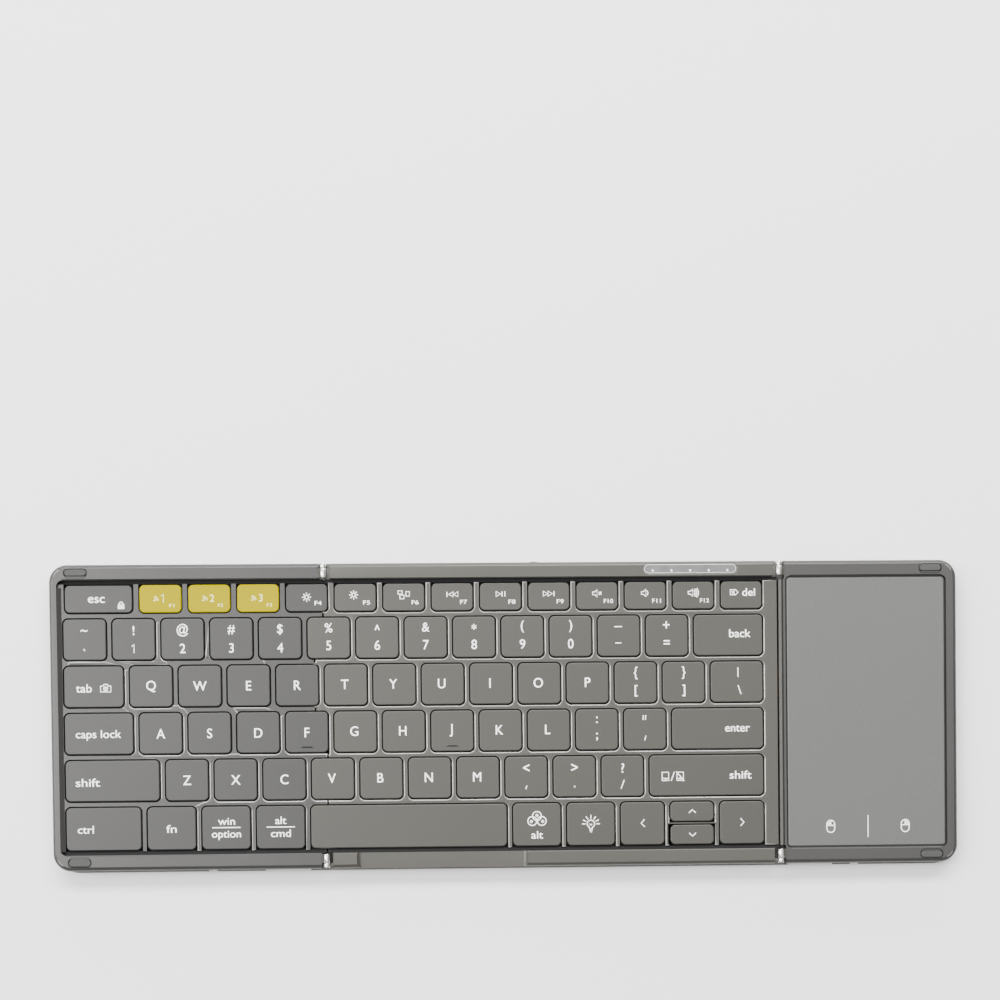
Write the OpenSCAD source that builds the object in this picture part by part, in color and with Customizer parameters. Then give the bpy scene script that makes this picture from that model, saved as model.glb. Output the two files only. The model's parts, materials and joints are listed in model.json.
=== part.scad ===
// Folding keyboard in three boards: a wing of keys on the left, the middle board, and a wing with
// a touchpad on the right. Both wings swing over the middle board on steel hinges set in its rails,
// and their leather back covers slide along them to make room for the spines of the fold.
// It lies flat and open, with its underside at z = 0, its rear edge towards +Y and x = 0 at mid width.

/* [Key field] */
// Distance between the middles of two neighbouring letter keys
key_pitch = 16.25; // [15.8:0.05:17]
// Width of the place of the escape key and of the caps lock key
esc_w = 24.8; // [24:0.1:27]
// How much further in the function row starts
row1_in = 0.5; // [0:0.1:0.8]
// Width of the place of the tab key
tab_w = 21.8; // [20.8:0.1:22.8]
// Width of the place of the left shift key
shift_w = 33.3; // [32.6:0.1:34.2]
// Width of the place of the left control key
ctrl_w = 27; // [26.6:0.1:28.2]
// Width of the place of each other key beside the space bar
mod_w = 18.2; // [18:0.1:18.6]
// Width of the place of the space bar
space_w = 67.9; // [60:0.1:70]
// Width of the place of an arrow key
arrow_w = 16.8; // [16:0.1:17]
// Depth of a row of letter keys
row_d = 15.75; // [15:0.05:17]
// Depth of the function row at the rear
row1_d = 10.6; // [9:0.1:13]
// Depth of the space bar row at the front
row6_d = 15.8; // [14:0.1:18]
// Width of the bars between two wells
web_w = 1.3; // [0.9:0.1:1.8]
// Width of the bars between two function keys
web1_w = 1.65; // [1.2:0.05:2.4]
// Gap between a key cap and its well, and between the teeth of the two boards
key_gap = 0.35; // [0.25:0.05:0.5]
// Corner radius of a well
well_r = 2; // [1.5:0.1:2.6]

/* [Key caps] */
// Height of a key cap
cap_h = 1.5; // [1.2:0.1:2]
// How far a cap stands above the deck
cap_proud = 0.3; // [0:0.05:0.6]
// Thickness of a cap's top
cap_top = 0.7; // [0.4:0.05:0.9]
// Thickness of a cap's skirt
cap_wall = 0.9; // [0.6:0.1:1.2]
// Bevel round a cap's top
cap_bevel = 0.25; // [0.1:0.05:0.4]
// How far a key goes down
key_travel = 1.2; // [0.6:0.1:1.2]

/* [Boards] */
// Width of the front and rear rails
rail_w = 5.3; // [5:0.1:8]
// Corner radius of the wings, seen from above
corner_r = 6; // [4:0.5:9]
// Round of the upper outer edge
shoulder_r = 1.6; // [0.8:0.1:2]
// Groove between the deck and a rail
groove_w = 1.2; // [0.8:0.1:1.6]
// How far the groove goes below the deck
groove_h = 0.7; // [0.4:0.1:1.2]
// Bevel along a rail's inner edge
rail_bevel = 0.35; // [0.2:0.05:0.5]
// Width of the rail along the left end
left_rail_w = 2.7; // [2.2:0.1:3.4]
// Deck between the left rail and the first wells, up to the middle of a bar
left_deck_w = 0.8; // [0.7:0.05:2]
// Deck between the last wells and the right hinge line, from the middle of a bar
right_deck_w = 4.55; // [4:0.05:6]
// Length of the right wing from its hinge line
right_wing_l = 60.4; // [54:0.1:70]
// Width of the rail along the right end
right_rail_w = 3.75; // [2.6:0.05:4.5]
// Thickness of the outer walls inside the bases
wall = 1.4; // [1:0.1:2]

/* [Layers, from below] */
// Thickness of the leather
leather_t = 0.8; // [0.6:0.1:1.2]
// Thickness of the boards under the leather
board_t = 0.7; // [0.5:0.1:1]
// Gap between a sliding cover and its wing
slide_gap = 0.3; // [0.25:0.05:0.5]
// Thickness of the bases' floors
floor_t = 0.8; // [0.7:0.05:1]
// Room between a wing's floor and its support plate
tray_h = 0.8; // [0.7:0.05:1.2]
// Thickness of the steel support plates
plate_t = 0.3; // [0.2:0.05:0.5]
// Thickness of the contact membranes with their light guide
membrane_t = 0.4; // [0.2:0.05:0.6]
// Depth of the key wells
deck_t = 2.6; // [2.4:0.1:3.2]
// How far the rails stand above the deck
rail_h = 1.3; // [1:0.1:1.6]

/* [Hinges] */
// Height of the hinge lines above the rails
axis_rise = 0.1; // [0.08:0.01:0.2]
// Distance of the left hinge line from the far edge of the last function key's place on its wing
axis_back = 2.4; // [2.2:0.05:2.7]
// Radius of a hinge barrel
barrel_r = 1.15; // [1.05:0.05:1.3]
// Radius of a hinge pin
pin_r = 0.55; // [0.45:0.05:0.65]
// Play between a pin and a wing's knuckle
pin_play = 0.05; // [0.03:0.01:0.08]
// Length of a wing's knuckle
wing_knuckle_l = 3.1; // [2.4:0.1:3.4]
// Length of a middle board's knuckle
mid_knuckle_l = 1.4; // [1:0.1:1.6]
// Gap between two knuckles
knuckle_gap = 0.1; // [0.06:0.02:0.2]
// Length of a hinge leaf from the hinge line
leaf_l = 7; // [5:0.5:10]
// Thickness of a hinge leaf
leaf_t = 0.7; // [0.5:0.05:0.7]
// Distance of a wing's rail end from the hinge line
rail_end_wing = 1.75; // [1.4:0.05:2]
// Distance of a middle rail's end from the hinge line
rail_end_mid = 2.1; // [1.6:0.05:2.6]
// Gap between the boards beside the hinges
board_gap = 0.5; // [0.4:0.05:0.8]

/* [Covers] */
// How far the covers stand out past the boards, in front and behind
cover_over = 0.6; // [0.2:0.1:1.2]
// Width of the moulded rim round the leather
rim_w = 1; // [0.8:0.1:1.6]
// How far the rim stays above the leather's face
rim_back = 0.15; // [0.1:0.05:0.3]
// Distance of the open wings' ends past their covers
cover_back = 0.7; // [0.4:0.1:1.5]
// Gap between the middle board's longest tooth and the folded left spine
spine_clear = 0.35; // [0.25:0.05:1]
// Distance of the right spine's crease past the right hinge line
right_spine_off = 3; // [2:0.1:4]
// Gap between a spine and its cover
spine_gap = 0.2; // [0.1:0.05:0.4]
// Width of the soft crease across a cover
crease_w = 3; // [2:0.2:4]
// Distance of the left cover's crease from its inner end
left_crease = 17.7; // [12:0.1:20]
// Distance of the right cover's crease from its inner end
right_crease = 7.6; // [6:0.1:12]
// Width of the slots in which the covers' runners slide
slot_w = 1.6; // [1.2:0.1:2.4]
// Play on each side of a runner
runner_play = 0.2; // [0.1:0.05:0.3]
// Length of a runner
runner_l = 7; // [5:0.5:9]
// Distance of the runners from the middle line
runner_y = 26; // [20:0.5:34]
// Distance of the left runners from the left hinge line
left_runner_in = 55; // [52:0.5:56]
// Distance of the right runners from the right hinge line
right_runner_in = 32; // [31:0.5:34]

/* [Touchpad and battery] */
// Gap round the touchpad
pad_gap = 0.45; // [0.3:0.05:0.7]
// How far the touchpad lies below the rails
pad_below = 0.4; // [0.2:0.05:0.8]
// Thickness of the touchpad's cover sheet
pad_t = 0.7; // [0.5:0.05:1]
// Thickness of the touchpad's circuit board
pad_board_t = 0.4; // [0.3:0.05:0.6]
// Corner radius of the touchpad
pad_r = 1.1; // [0.6:0.1:2]
// Width of the ledge that carries the touchpad
ledge_w = 1.6; // [1.2:0.1:2.4]
// Width of the frame's rim between the right hinge and the touchpad
pad_rim_w = 0.75; // [0.5:0.05:0.9]
// Width of the lip along the right wing's hinge side
lip_w = 0.95; // [0.6:0.05:1]
// Distance of the lip's edge before the right hinge line
lip_back = 0.1; // [0:0.05:0.5]
// Gap between the middle board and the lip
lip_gap = 0.55; // [0.4:0.05:0.8]
// Gap between the lip and the rim beside the touchpad
lip_moat = 0.45; // [0.3:0.05:0.9]
// Thickness of the battery
battery_t = 2.4; // [1.6:0.1:2.6]
// Width of the battery
battery_w = 44; // [30:1:48]
// Depth of the battery
battery_d = 72; // [40:1:84]

/* [Small parts] */
// Length of a rubber bumper
bumper_l = 7.4; // [5:0.1:9]
// Width of a rubber bumper
bumper_w = 2.3; // [1.6:0.1:2.6]
// Moat round a bumper
bumper_moat = 0.25; // [0.1:0.05:0.4]
// Distance of a bumper's middle from the wing's end
bumper_in = 9; // [8:0.5:14]
// Length of the indicator window
window_l = 31.5; // [20:0.5:36]
// Width of the indicator window
window_w = 3.4; // [2.4:0.1:3.6]
// Distance of the window's middle from the right hinge line
window_in = 30; // [24:0.1:40]
// Number of indicator lights
light_n = 5; // [3:1:6]
// Distance between two indicator lights
light_pitch = 6.3; // [4:0.1:6.4]
// Length of the thumb notch in the front rail
notch_l = 57.4; // [30:0.2:60]
// Distance of the notch's middle from the left hinge line
notch_in = 38.8; // [36:0.1:50]
// Width of the charging port
port_w = 9; // [8.5:0.1:9.4]
// Height of the charging port
port_h = 3.2; // [3:0.05:3.4]
// Length of the charging port
port_l = 5.2; // [4.5:0.1:5.2]
// Distance of the charging port from the power switch
port_off = 19; // [12:0.5:22]
// Width of the power switch's knob
knob_w = 2.5; // [2:0.1:3]
// How far the knob stands out of the rear edge
knob_out = 0.5; // [0.3:0.05:0.55]
// How far the power switch slides
knob_travel = 2; // [1.5:0.1:2.5]
// Distance of the switched-off knob from the left hinge line
knob_in = 70.4; // [66:0.1:74]
// Width of the flat cables between the boards
cable_w = 10; // [6:0.5:11]
// Length of the flat cables on each side of a hinge line
cable_l = 9; // [7:0.5:12]
// Thickness of the flat cables
cable_t = 0.15; // [0.1:0.05:0.3]
// Radius of the screws
screw_r = 0.6; // [0.5:0.05:0.8]
// Distance of the first screws from the left hinge line
screw_in = 12; // [10:0.5:16]
// Distance of the last screws from the right hinge line
screw_back = 7; // [6:0.5:10]
// Distance between two screws in the front rail
screw_pitch = 46; // [40:1:50]
// Length of the raised bar that finds the home keys
homing_l = 4.6; // [3:0.1:6]
// Width of that bar
homing_w = 0.5; // [0.3:0.05:0.8]
// Height of that bar
homing_h = 0.2; // [0.1:0.05:0.3]
// Distance of that bar from the cap's front edge
homing_in = 1.9; // [1.5:0.1:4]
// Width of the bar between the up and down arrow keys
half_web_w = 0.4; // [0.3:0.05:0.6]

/* [Hidden] */
$fn = 48;
eps = 0.01;
far = 400;

ROWS = 6;
LEFT_KEYS = [5, 5, 5, 5, 4, 4];
// Rows in which the last key of the wing reaches past the hinge line, on a tooth of the wing.
WING_TOOTH = [true, false, true, true, false, false];
// Where the bars between two rows part, from the left hinge line; the first and last are the grooves.
BAR_CUTS = [0, -0.4, -3.3, -3.2, 0.7, 0.5, 0];

function total(v, n) = n <= 0 ? 0 : v[n - 1] + total(v, n - 1);
function times(v, n) = [for (i = [1:n]) v];

grid_w = row1_in + esc_w + 13 * key_pitch;
row6_rest = grid_w - ctrl_w - 5 * mod_w - space_w - 2 * arrow_w;
ROW_WIDTHS = [
    concat([esc_w], times(key_pitch, 12), [grid_w - row1_in - esc_w - 12 * key_pitch]),
    concat(times(key_pitch, 13), [grid_w - 13 * key_pitch]),
    concat([tab_w], times(key_pitch, 12), [grid_w - tab_w - 12 * key_pitch]),
    concat([esc_w], times(key_pitch, 11), [grid_w - esc_w - 11 * key_pitch]),
    concat([shift_w], times(key_pitch, 10), [grid_w - shift_w - 10 * key_pitch]),
    concat([ctrl_w], times(mod_w, 3), [space_w, mod_w, mod_w, arrow_w, arrow_w, row6_rest])
];
field_d = row1_d + 4 * row_d + row6_d;
ROW_Y = [
    field_d / 2,
    field_d / 2 - row1_d,
    field_d / 2 - row1_d - row_d,
    field_d / 2 - row1_d - 2 * row_d,
    field_d / 2 - row1_d - 3 * row_d,
    field_d / 2 - row1_d - 4 * row_d,
    -field_d / 2
];
rail_in = field_d / 2 + groove_w;
half_d = rail_in + rail_w;
body_d = 2 * half_d;
rail_mid = (rail_in + half_d) / 2;

total_w = left_rail_w + left_deck_w + grid_w + right_deck_w + right_wing_l;
x_left = -total_w / 2;
x_right = total_w / 2;
grid_x0 = x_left + left_rail_w + left_deck_w;
axis_r = grid_x0 + grid_w + right_deck_w;
axis_l = grid_x0 + row1_in + esc_w + 4 * key_pitch - axis_back;

z_board = leather_t;
z_mid_base = z_board + board_t;
z_wing_base = z_mid_base + slide_gap;
z_mid_floor = z_mid_base + floor_t;
z_wing_floor = z_wing_base + floor_t;
z_plate = z_wing_floor + tray_h;
z_membrane = z_plate + plate_t;
z_well = z_membrane + membrane_t;
z_deck = z_well + deck_t;
z_groove = z_deck - groove_h;
z_rail = z_deck + rail_h;
z_axis = z_rail + axis_rise;
z_cap_top = z_deck + cap_proud;
z_cap = z_cap_top - cap_h;
z_cap_in = z_cap_top - cap_top;
cap_r = well_r - key_gap;

function half_web(r) = (r == 0 ? web1_w : web_w) / 2;
function well_hi(r) = r == 0 ? ROW_Y[0] : ROW_Y[r] - web_w / 2;
function well_lo(r) = r == ROWS - 1 ? ROW_Y[ROWS] : ROW_Y[r + 1] + web_w / 2;
function slot_x(r, k) = grid_x0 + (r == 0 ? row1_in : 0) + total(ROW_WIDTHS[r], k);
function well_x0(r, k) = slot_x(r, k) + half_web(r);
function well_x1(r, k) = slot_x(r, k + 1) - half_web(r);
function part_x(r) = slot_x(r, LEFT_KEYS[r]);
function cut_x(j) = axis_l + BAR_CUTS[j];
function key_count(r) = len(ROW_WIDTHS[r]);

// The left spine folds just outside the longest tooth of the middle board.
tooth_reach = axis_l - (part_x(1) + half_web(1) + key_gap);
left_spine_off = tooth_reach + spine_clear;
spine_l = 2 * z_axis - z_board;
left_slide = left_spine_off + spine_l + left_spine_off;
right_slide = right_spine_off + spine_l + right_spine_off;
left_cover_in = left_spine_off + spine_l + spine_gap;
right_cover_in = right_spine_off + spine_l + spine_gap;
left_cover_out = axis_l - x_left - cover_back;
right_cover_out = x_right - axis_r - cover_back;
cover_d = body_d + 2 * cover_over;
leather_d = cover_d - 2 * rim_w;
cover_r = corner_r + cover_over;
runner_head = slot_w + 1.6;

lip_x = axis_r - lip_back;
rim_x = lip_x + lip_w + lip_moat;
pad_x0 = rim_x + pad_rim_w + pad_gap;
pad_x1 = x_right - right_rail_w - pad_gap;
pad_y = rail_in - pad_gap;
z_pad = z_rail - pad_below;
z_ledge = z_pad - pad_t - pad_board_t;
lip_y = rail_in - lip_w;
lip_top = z_rail - 0.7;

knob_x = axis_l + knob_in;
port_x = knob_x + port_off;
window_x = axis_r - window_in;
notch_x = axis_l + notch_in;
port_z = z_mid_floor + 0.6;
main_board_x0 = knob_x - knob_w - 6.5;
main_board_x1 = window_x + window_l / 2 + 2;
main_board_t = 0.6;
channel_in = rail_in + 0.6;
channel_out = half_d - wall;

// ---- Shapes ----

module area(x0, x1, y0, y1) {
    translate([x0, y0]) square([x1 - x0, y1 - y0]);
}

module round_area(x0, x1, y0, y1, r) {
    area(x0 + r, x1 - r, y0, y1);
    area(x0, x1, y0 + r, y1 - r);
    for (x = [x0 + r, x1 - r], y = [y0 + r, y1 - r]) translate([x, y]) circle(r);
}

module box(x0, x1, y0, y1, z0, z1) {
    translate([x0, y0, z0]) cube([x1 - x0, y1 - y0, z1 - z0]);
}

module layer(z0, z1) {
    translate([0, 0, z0]) linear_extrude(z1 - z0) children();
}

// A block with round upright corners of radius r, whose edge follows the profile given as the child.
module edged_block(x0, x1, y0, y1, z0, z1, r) {
    w = x1 - x0 - 2 * r;
    d = y1 - y0 - 2 * r;
    corners = [[w, d], [0, d], [0, 0], [w, 0]];
    translate([x0 + r, y0 + r, z0]) {
        cube([w, d, z1 - z0]);
        for (i = [0:3]) translate([corners[i][0], corners[i][1], 0]) {
            rotate([90, 0, 90 * i]) linear_extrude(i % 2 == 0 ? d : w) children();
            rotate([0, 0, 90 * i]) rotate_extrude(angle = 90) children();
        }
    }
}

module bevel_profile(r, h, b) {
    polygon([[0, 0], [r, 0], [r, h - b], [r - b, h], [0, h]]);
}

module round_profile(r, h, s) {
    square([r, h - s]);
    square([r - s, h]);
    translate([r - s, h - s]) circle(s);
}

// ---- Outlines of the boards ----

// The piece that rounds the corner of a well where its side bar belongs to the other board.
module well_corner(x, y, sx, sy) {
    difference() {
        translate([min(x, x + sx * well_r), min(y, y + sy * well_r)]) square(well_r);
        translate([x + sx * well_r, y + sy * well_r]) circle(well_r);
    }
}

module left_outline() {
    for (s = [-1, 1]) {
        y_rail = [s * rail_in, s * (half_d + 1)];
        area(x_left - 1, axis_l - rail_end_wing, min(y_rail), max(y_rail));
        y_groove = [s * field_d / 2, s * rail_in];
        area(x_left - 1, axis_l - board_gap / 2, min(y_groove), max(y_groove));
    }
    for (r = [0:ROWS - 1]) {
        lo = well_lo(r);
        hi = well_hi(r);
        if (WING_TOOTH[r]) {
            tooth = part_x(r) - half_web(r) - key_gap;
            round_area(x_left - 1, tooth, lo + key_gap, hi - key_gap, cap_r);
            area(x_left - 1, cut_x(r) - board_gap / 2, (lo + hi) / 2, hi);
            area(x_left - 1, cut_x(r + 1) - board_gap / 2, lo, (lo + hi) / 2);
        } else {
            x = part_x(r) + half_web(r);
            area(x_left - 1, x, lo, hi);
            well_corner(x, hi, 1, -1);
            if (r < ROWS - 1) well_corner(x, lo, 1, 1);
        }
    }
    for (j = [1:ROWS - 1])
        area(x_left - 1, cut_x(j) - board_gap / 2, ROW_Y[j] - web_w / 2, ROW_Y[j] + web_w / 2);
}

module middle_outline() {
    x_end = lip_x - lip_gap;
    for (s = [-1, 1]) {
        y_rail = [s * rail_in, s * half_d];
        area(axis_l + rail_end_mid, axis_r - rail_end_mid, min(y_rail), max(y_rail));
        y_groove = [s * field_d / 2, s * rail_in];
        area(axis_l + board_gap / 2, x_end, min(y_groove), max(y_groove));
    }
    for (r = [0:ROWS - 1]) {
        lo = well_lo(r);
        hi = well_hi(r);
        if (WING_TOOTH[r]) {
            x = part_x(r) - half_web(r);
            area(x, x_end, lo, hi);
            if (r > 0) well_corner(x, hi, -1, -1);
            if (BAR_CUTS[r + 1] < 0) well_corner(x, lo, -1, 1);
        } else {
            tooth = part_x(r) + half_web(r) + key_gap;
            round_area(tooth, x_end, lo + key_gap, hi - key_gap, cap_r);
            area(cut_x(r) + board_gap / 2, x_end, (lo + hi) / 2, hi);
            area(cut_x(r + 1) + board_gap / 2, x_end, lo, (lo + hi) / 2);
        }
    }
    for (j = [1:ROWS - 1])
        area(cut_x(j) + board_gap / 2, x_end, ROW_Y[j] - web_w / 2, ROW_Y[j] + web_w / 2);
}

// ---- Keys ----

// The wells of the keys first to last in row r; a well that ends at a tooth is cut square there.
module wells(r, first, last) {
    for (k = [first:last]) {
        x0 = well_x0(r, k);
        x1 = well_x1(r, k);
        round_area(x0, x1, well_lo(r), well_hi(r), well_r);
        if (WING_TOOTH[r] && k == LEFT_KEYS[r] - 1) area((x0 + x1) / 2, x1, well_lo(r), well_hi(r));
        if (!WING_TOOTH[r] && k == LEFT_KEYS[r]) area(x0, (x0 + x1) / 2, well_lo(r), well_hi(r));
        if (r == 0) area(x0, x1, (well_lo(r) + well_hi(r)) / 2, well_hi(r));
        if (r == ROWS - 1) area(x0, x1, well_lo(r), (well_lo(r) + well_hi(r)) / 2);
    }
}

module cap(x0, x1, y0, y1) {
    difference() {
        edged_block(x0, x1, y0, y1, z_cap, z_cap_top, cap_r) bevel_profile(cap_r, cap_h, cap_bevel);
        box(x0 + cap_wall, x1 - cap_wall, y0 + cap_wall, y1 - cap_wall, z_cap - 1, z_cap_in);
    }
}

module key(r, k) {
    cap(well_x0(r, k) + key_gap, well_x1(r, k) - key_gap, well_lo(r) + key_gap, well_hi(r) - key_gap);
}

module keys(r, first, last) {
    for (k = [first:last]) key(r, k);
}

// The raised bar near the front of a home key.
module homing_bar(r, k) {
    x = (well_x0(r, k) + well_x1(r, k)) / 2;
    y = well_lo(r) + key_gap + homing_in;
    layer(z_cap_top - eps, z_cap_top + homing_h)
        round_area(x - homing_l / 2, x + homing_l / 2, y - homing_w / 2, y + homing_w / 2, homing_w / 2 - eps);
}

// Half of the key place that the up and down arrows share.
module half_key(r, k, upper) {
    middle = (well_lo(r) + well_hi(r)) / 2;
    x0 = well_x0(r, k) + key_gap;
    x1 = well_x1(r, k) - key_gap;
    if (upper) cap(x0, x1, middle + half_web_w / 2 + key_gap, well_hi(r) - key_gap);
    else cap(x0, x1, well_lo(r) + key_gap, middle - half_web_w / 2 - key_gap);
}

// A rubber dome between the two crossed frames of a scissor, from the membrane up to the cap.
module key_support(x, y, frame_d) {
    rise = z_cap_in - z_well;
    frame_t = 0.4;
    frame_l = 9;
    bar = 1;
    tilt = asin((rise - frame_t) / frame_l);
    translate([x, y, z_well]) cylinder(h = rise, r1 = 2.2, r2 = 1.3);
    for (s = [-1, 1]) {
        inset = s < 0 ? 0 : bar + 0.2;
        translate([x, y, z_well + rise / 2]) rotate([0, s * tilt, 0]) difference() {
            box(-frame_l / 2, frame_l / 2, inset - frame_d / 2, frame_d / 2 - inset,
                -frame_t / 2, frame_t / 2);
            box(bar - frame_l / 2, frame_l / 2 - bar, inset + bar - frame_d / 2,
                frame_d / 2 - inset - bar, -1, 1);
        }
    }
    for (s = [-1, 1]) translate([x, y + s * (frame_d / 2 - bar), z_well + rise / 2]) rotate([90, 0, 0])
        cylinder(h = bar, r = 0.15, center = true);
}

module key_supports(r, first, last) {
    for (k = [first:last]) {
        x0 = well_x0(r, k);
        x1 = well_x1(r, k);
        y = (well_lo(r) + well_hi(r)) / 2;
        spread = (x1 - x0) / 4;
        if (r == ROWS - 1 && k == key_count(r) - 2) {
            for (s = [-1, 1]) translate([(x0 + x1) / 2, y + s * (well_hi(r) - well_lo(r)) / 4, z_well])
                cylinder(h = z_cap_in - z_well, r1 = 1.9, r2 = 1.2);
        } else if (x1 - x0 > 28) {
            for (s = [-1, 1]) key_support((x0 + x1) / 2 + s * spread, y, r == 0 ? 6.6 : 8.6);
        } else {
            key_support((x0 + x1) / 2, y, r == 0 ? 6.6 : 8.6);
        }
    }
}

// ---- Hinges ----

// A knuckle on the hinge line at x, with its leaf towards side, from y0 to y1.
module knuckle(x, y0, y1, bore_r, side) {
    difference() {
        union() {
            translate([x, y1, z_axis]) rotate([90, 0, 0]) cylinder(h = y1 - y0, r = barrel_r);
            leaf_space(x, y0, y1, side);
        }
        translate([x, y1 + 1, z_axis]) rotate([90, 0, 0]) cylinder(h = y1 - y0 + 2, r = bore_r);
    }
}

module leaf_space(x, y0, y1, side) {
    near = x + side * (bore_clear + pin_r);
    tip = x + side * leaf_l;
    box(min(near, tip), max(near, tip), y0, y1, z_axis - barrel_r, z_axis - barrel_r + leaf_t);
}

bore_clear = 0.15;
knuckles_l = wing_knuckle_l + knuckle_gap + mid_knuckle_l;
knuckle_y = rail_mid - knuckles_l / 2;
wing_y = [knuckle_y, knuckle_y + wing_knuckle_l];
mid_y = [wing_y[1] + knuckle_gap, wing_y[1] + knuckle_gap + mid_knuckle_l];

module at_both_rails() {
    children();
    mirror([0, 1, 0]) children();
}

module wing_leaves(x, side) {
    at_both_rails() leaf_space(x, wing_y[0], wing_y[1], side);
}

module mid_leaves(x, side) {
    at_both_rails() leaf_space(x, mid_y[0], mid_y[1], side);
}

// ---- Middle board ----

// The bevel along the inner edges of the front and rear rails.
module rail_bevels(x0, x1) {
    at_both_rails() translate([x0, rail_in, z_rail]) rotate([90, 0, 90]) linear_extrude(x1 - x0)
        polygon([[-1, -rail_bevel - 1], [0, -rail_bevel], [rail_bevel, 0], [rail_bevel, 1], [-1, 1]]);
}

module notch() {
    ramp = 1.5;
    x0 = notch_x - notch_l / 2;
    x1 = notch_x + notch_l / 2;
    translate([0, -rail_in + eps, 0]) rotate([90, 0, 0]) linear_extrude(half_d) polygon([
        [x0, z_rail + 1], [x0, z_rail], [x0 + ramp, z_deck], [x1 - ramp, z_deck], [x1, z_rail],
        [x1, z_rail + 1]
    ]);
}

SCREWS = concat(
    [for (i = [0:2]) [axis_l + screw_in + i * screw_pitch, -1]],
    [[axis_l + screw_in, 1], [knob_x - 25, 1], [axis_r - screw_back, 1], [axis_r - screw_back, -1]]
);
screw_head_h = 0.5;
screw_top = z_well + 1.6;

module screw_places() {
    for (p = SCREWS) translate([p[0], p[1] * rail_mid, 0]) children();
}

// The room in the rear rail for the circuit board, the switch, the port and the lights.
module electronics_room() {
    box(main_board_x0 - 0.5, main_board_x1 + 0.5, channel_in, channel_out, z_mid_floor, z_rail - 1.1);
    layer(z_mid_floor, z_plate) area(main_board_x0 - 0.5, main_board_x1 + 0.5, field_d / 2, channel_out);
    knob_slot = knob_w + knob_travel + 0.4;
    box(knob_x - knob_w / 2 - 0.2, knob_x - knob_w / 2 - 0.2 + knob_slot, channel_out - 1, far,
        port_z + 0.3, port_z + 1.5);
    translate([port_x, half_d + 1, port_z + port_h / 2]) rotate([90, 0, 0])
        linear_extrude(port_l + 1.2) round_area(-port_w / 2, port_w / 2, -port_h / 2, port_h / 2, port_h / 2 - eps);
}

module window_area(grow) {
    round_area(window_x - window_l / 2 - grow, window_x + window_l / 2 + grow,
        rail_mid - window_w / 2 - grow, rail_mid + window_w / 2 + grow, window_w / 2 + grow - eps);
}

window_t = 0.8;

function light_x(i) = window_x + (i - (light_n - 1) / 2) * light_pitch;

// The thin bar across the key place that the up and down arrows share.
module arrow_bar() {
    k = key_count(ROWS - 1) - 2;
    y = (well_lo(ROWS - 1) + well_hi(ROWS - 1)) / 2;
    box(well_x0(ROWS - 1, k) - 0.1, well_x1(ROWS - 1, k) + 0.1, y - half_web_w / 2, y + half_web_w / 2,
        z_well + 0.3, z_deck);
}

module middle_frame() color("#a3a29d") {
    middle_frame_body();
    arrow_bar();
}

module middle_frame_body() difference() {
    intersection() {
        edged_block(-far, far, -half_d, half_d, z_plate, z_rail, corner_r)
            round_profile(corner_r, z_rail - z_plate, shoulder_r);
        layer(z_plate, z_rail) middle_outline();
    }
    box(-far, far, -rail_in, rail_in, z_deck, far);
    for (s = [-1, 1]) {
        y_groove = [s * field_d / 2, s * rail_in];
        box(-far, far, min(y_groove), max(y_groove), z_groove, far);
    }
    box(-far, far, -rail_in + 0.3, rail_in - 0.3, 0, z_well);
    layer(z_well - 1, far) for (r = [0:ROWS - 1]) wells(r, LEFT_KEYS[r], key_count(r) - 1);
    rail_bevels(axis_l, axis_r);
    notch();
    mid_leaves(axis_l, 1);
    mid_leaves(axis_r, -1);
    screw_places() cylinder(h = screw_top, r = screw_r);
    electronics_room();
    layer(z_rail - window_t, far) window_area(0.05);
    for (i = [0:light_n - 1]) translate([light_x(i), rail_mid, z_plate]) cylinder(h = 5, r = 0.8);
}

module middle_base() color("#8f8e8a") difference() {
    layer(z_mid_base, z_plate) middle_outline();
    difference() {
        box(axis_l + 6, axis_r - 3.5, -half_d + wall, field_d / 2 - 1, z_mid_floor, far);
        for (j = [1:ROWS - 1]) box(-far, far, ROW_Y[j] - 0.5, ROW_Y[j] + 0.5, 0, far);
        box(-far, far, -rail_in - 0.3, -rail_in + 1.2, 0, far);
        screw_places() cylinder(h = far, r = 2.1);
    }
    electronics_room();
    screw_places() {
        cylinder(h = far, r = screw_r);
        cylinder(h = z_mid_base + screw_head_h, r = screw_r * 2);
    }
    cable_room(axis_l);
    cable_room(axis_r);
}

module middle_support_plate() color("#b9bcc0") layer(z_plate, z_membrane) intersection() {
    middle_outline();
    area(-far, axis_r - 2, -rail_in + 0.35, rail_in - 0.35);
}

module middle_membrane() color("#e8e8e2") layer(z_membrane, z_well) intersection() {
    middle_outline();
    area(-far, axis_r - 2, -rail_in + 0.35, rail_in - 0.35);
}

module middle_key_supports() color("#f2f2ee") for (r = [0:ROWS - 1])
    key_supports(r, LEFT_KEYS[r], key_count(r) - 1);

module main_circuit_board() color("#2f6b45") {
    difference() {
        box(main_board_x0, main_board_x1, field_d / 2 + 0.2, channel_out - 0.1,
            z_mid_floor, z_mid_floor + main_board_t);
        for (x = [main_board_x0 + 3, main_board_x1 - 3]) translate([x, rail_mid, 0]) cylinder(h = far, r = 0.7);
    }
    box(knob_x - 3.4, knob_x + 3.4, channel_in + 0.1, channel_in + 1.6, port_z, port_z + 1.3);
    for (i = [0:light_n - 1]) box(light_x(i) - 0.8, light_x(i) + 0.8, rail_mid - 0.6, rail_mid + 0.6,
        port_z, port_z + 0.5);
    box(port_x + port_w / 2 + 2, port_x + port_w / 2 + 6, channel_in + 0.1, channel_out - 0.2,
        port_z, port_z + 0.7);
}

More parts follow.
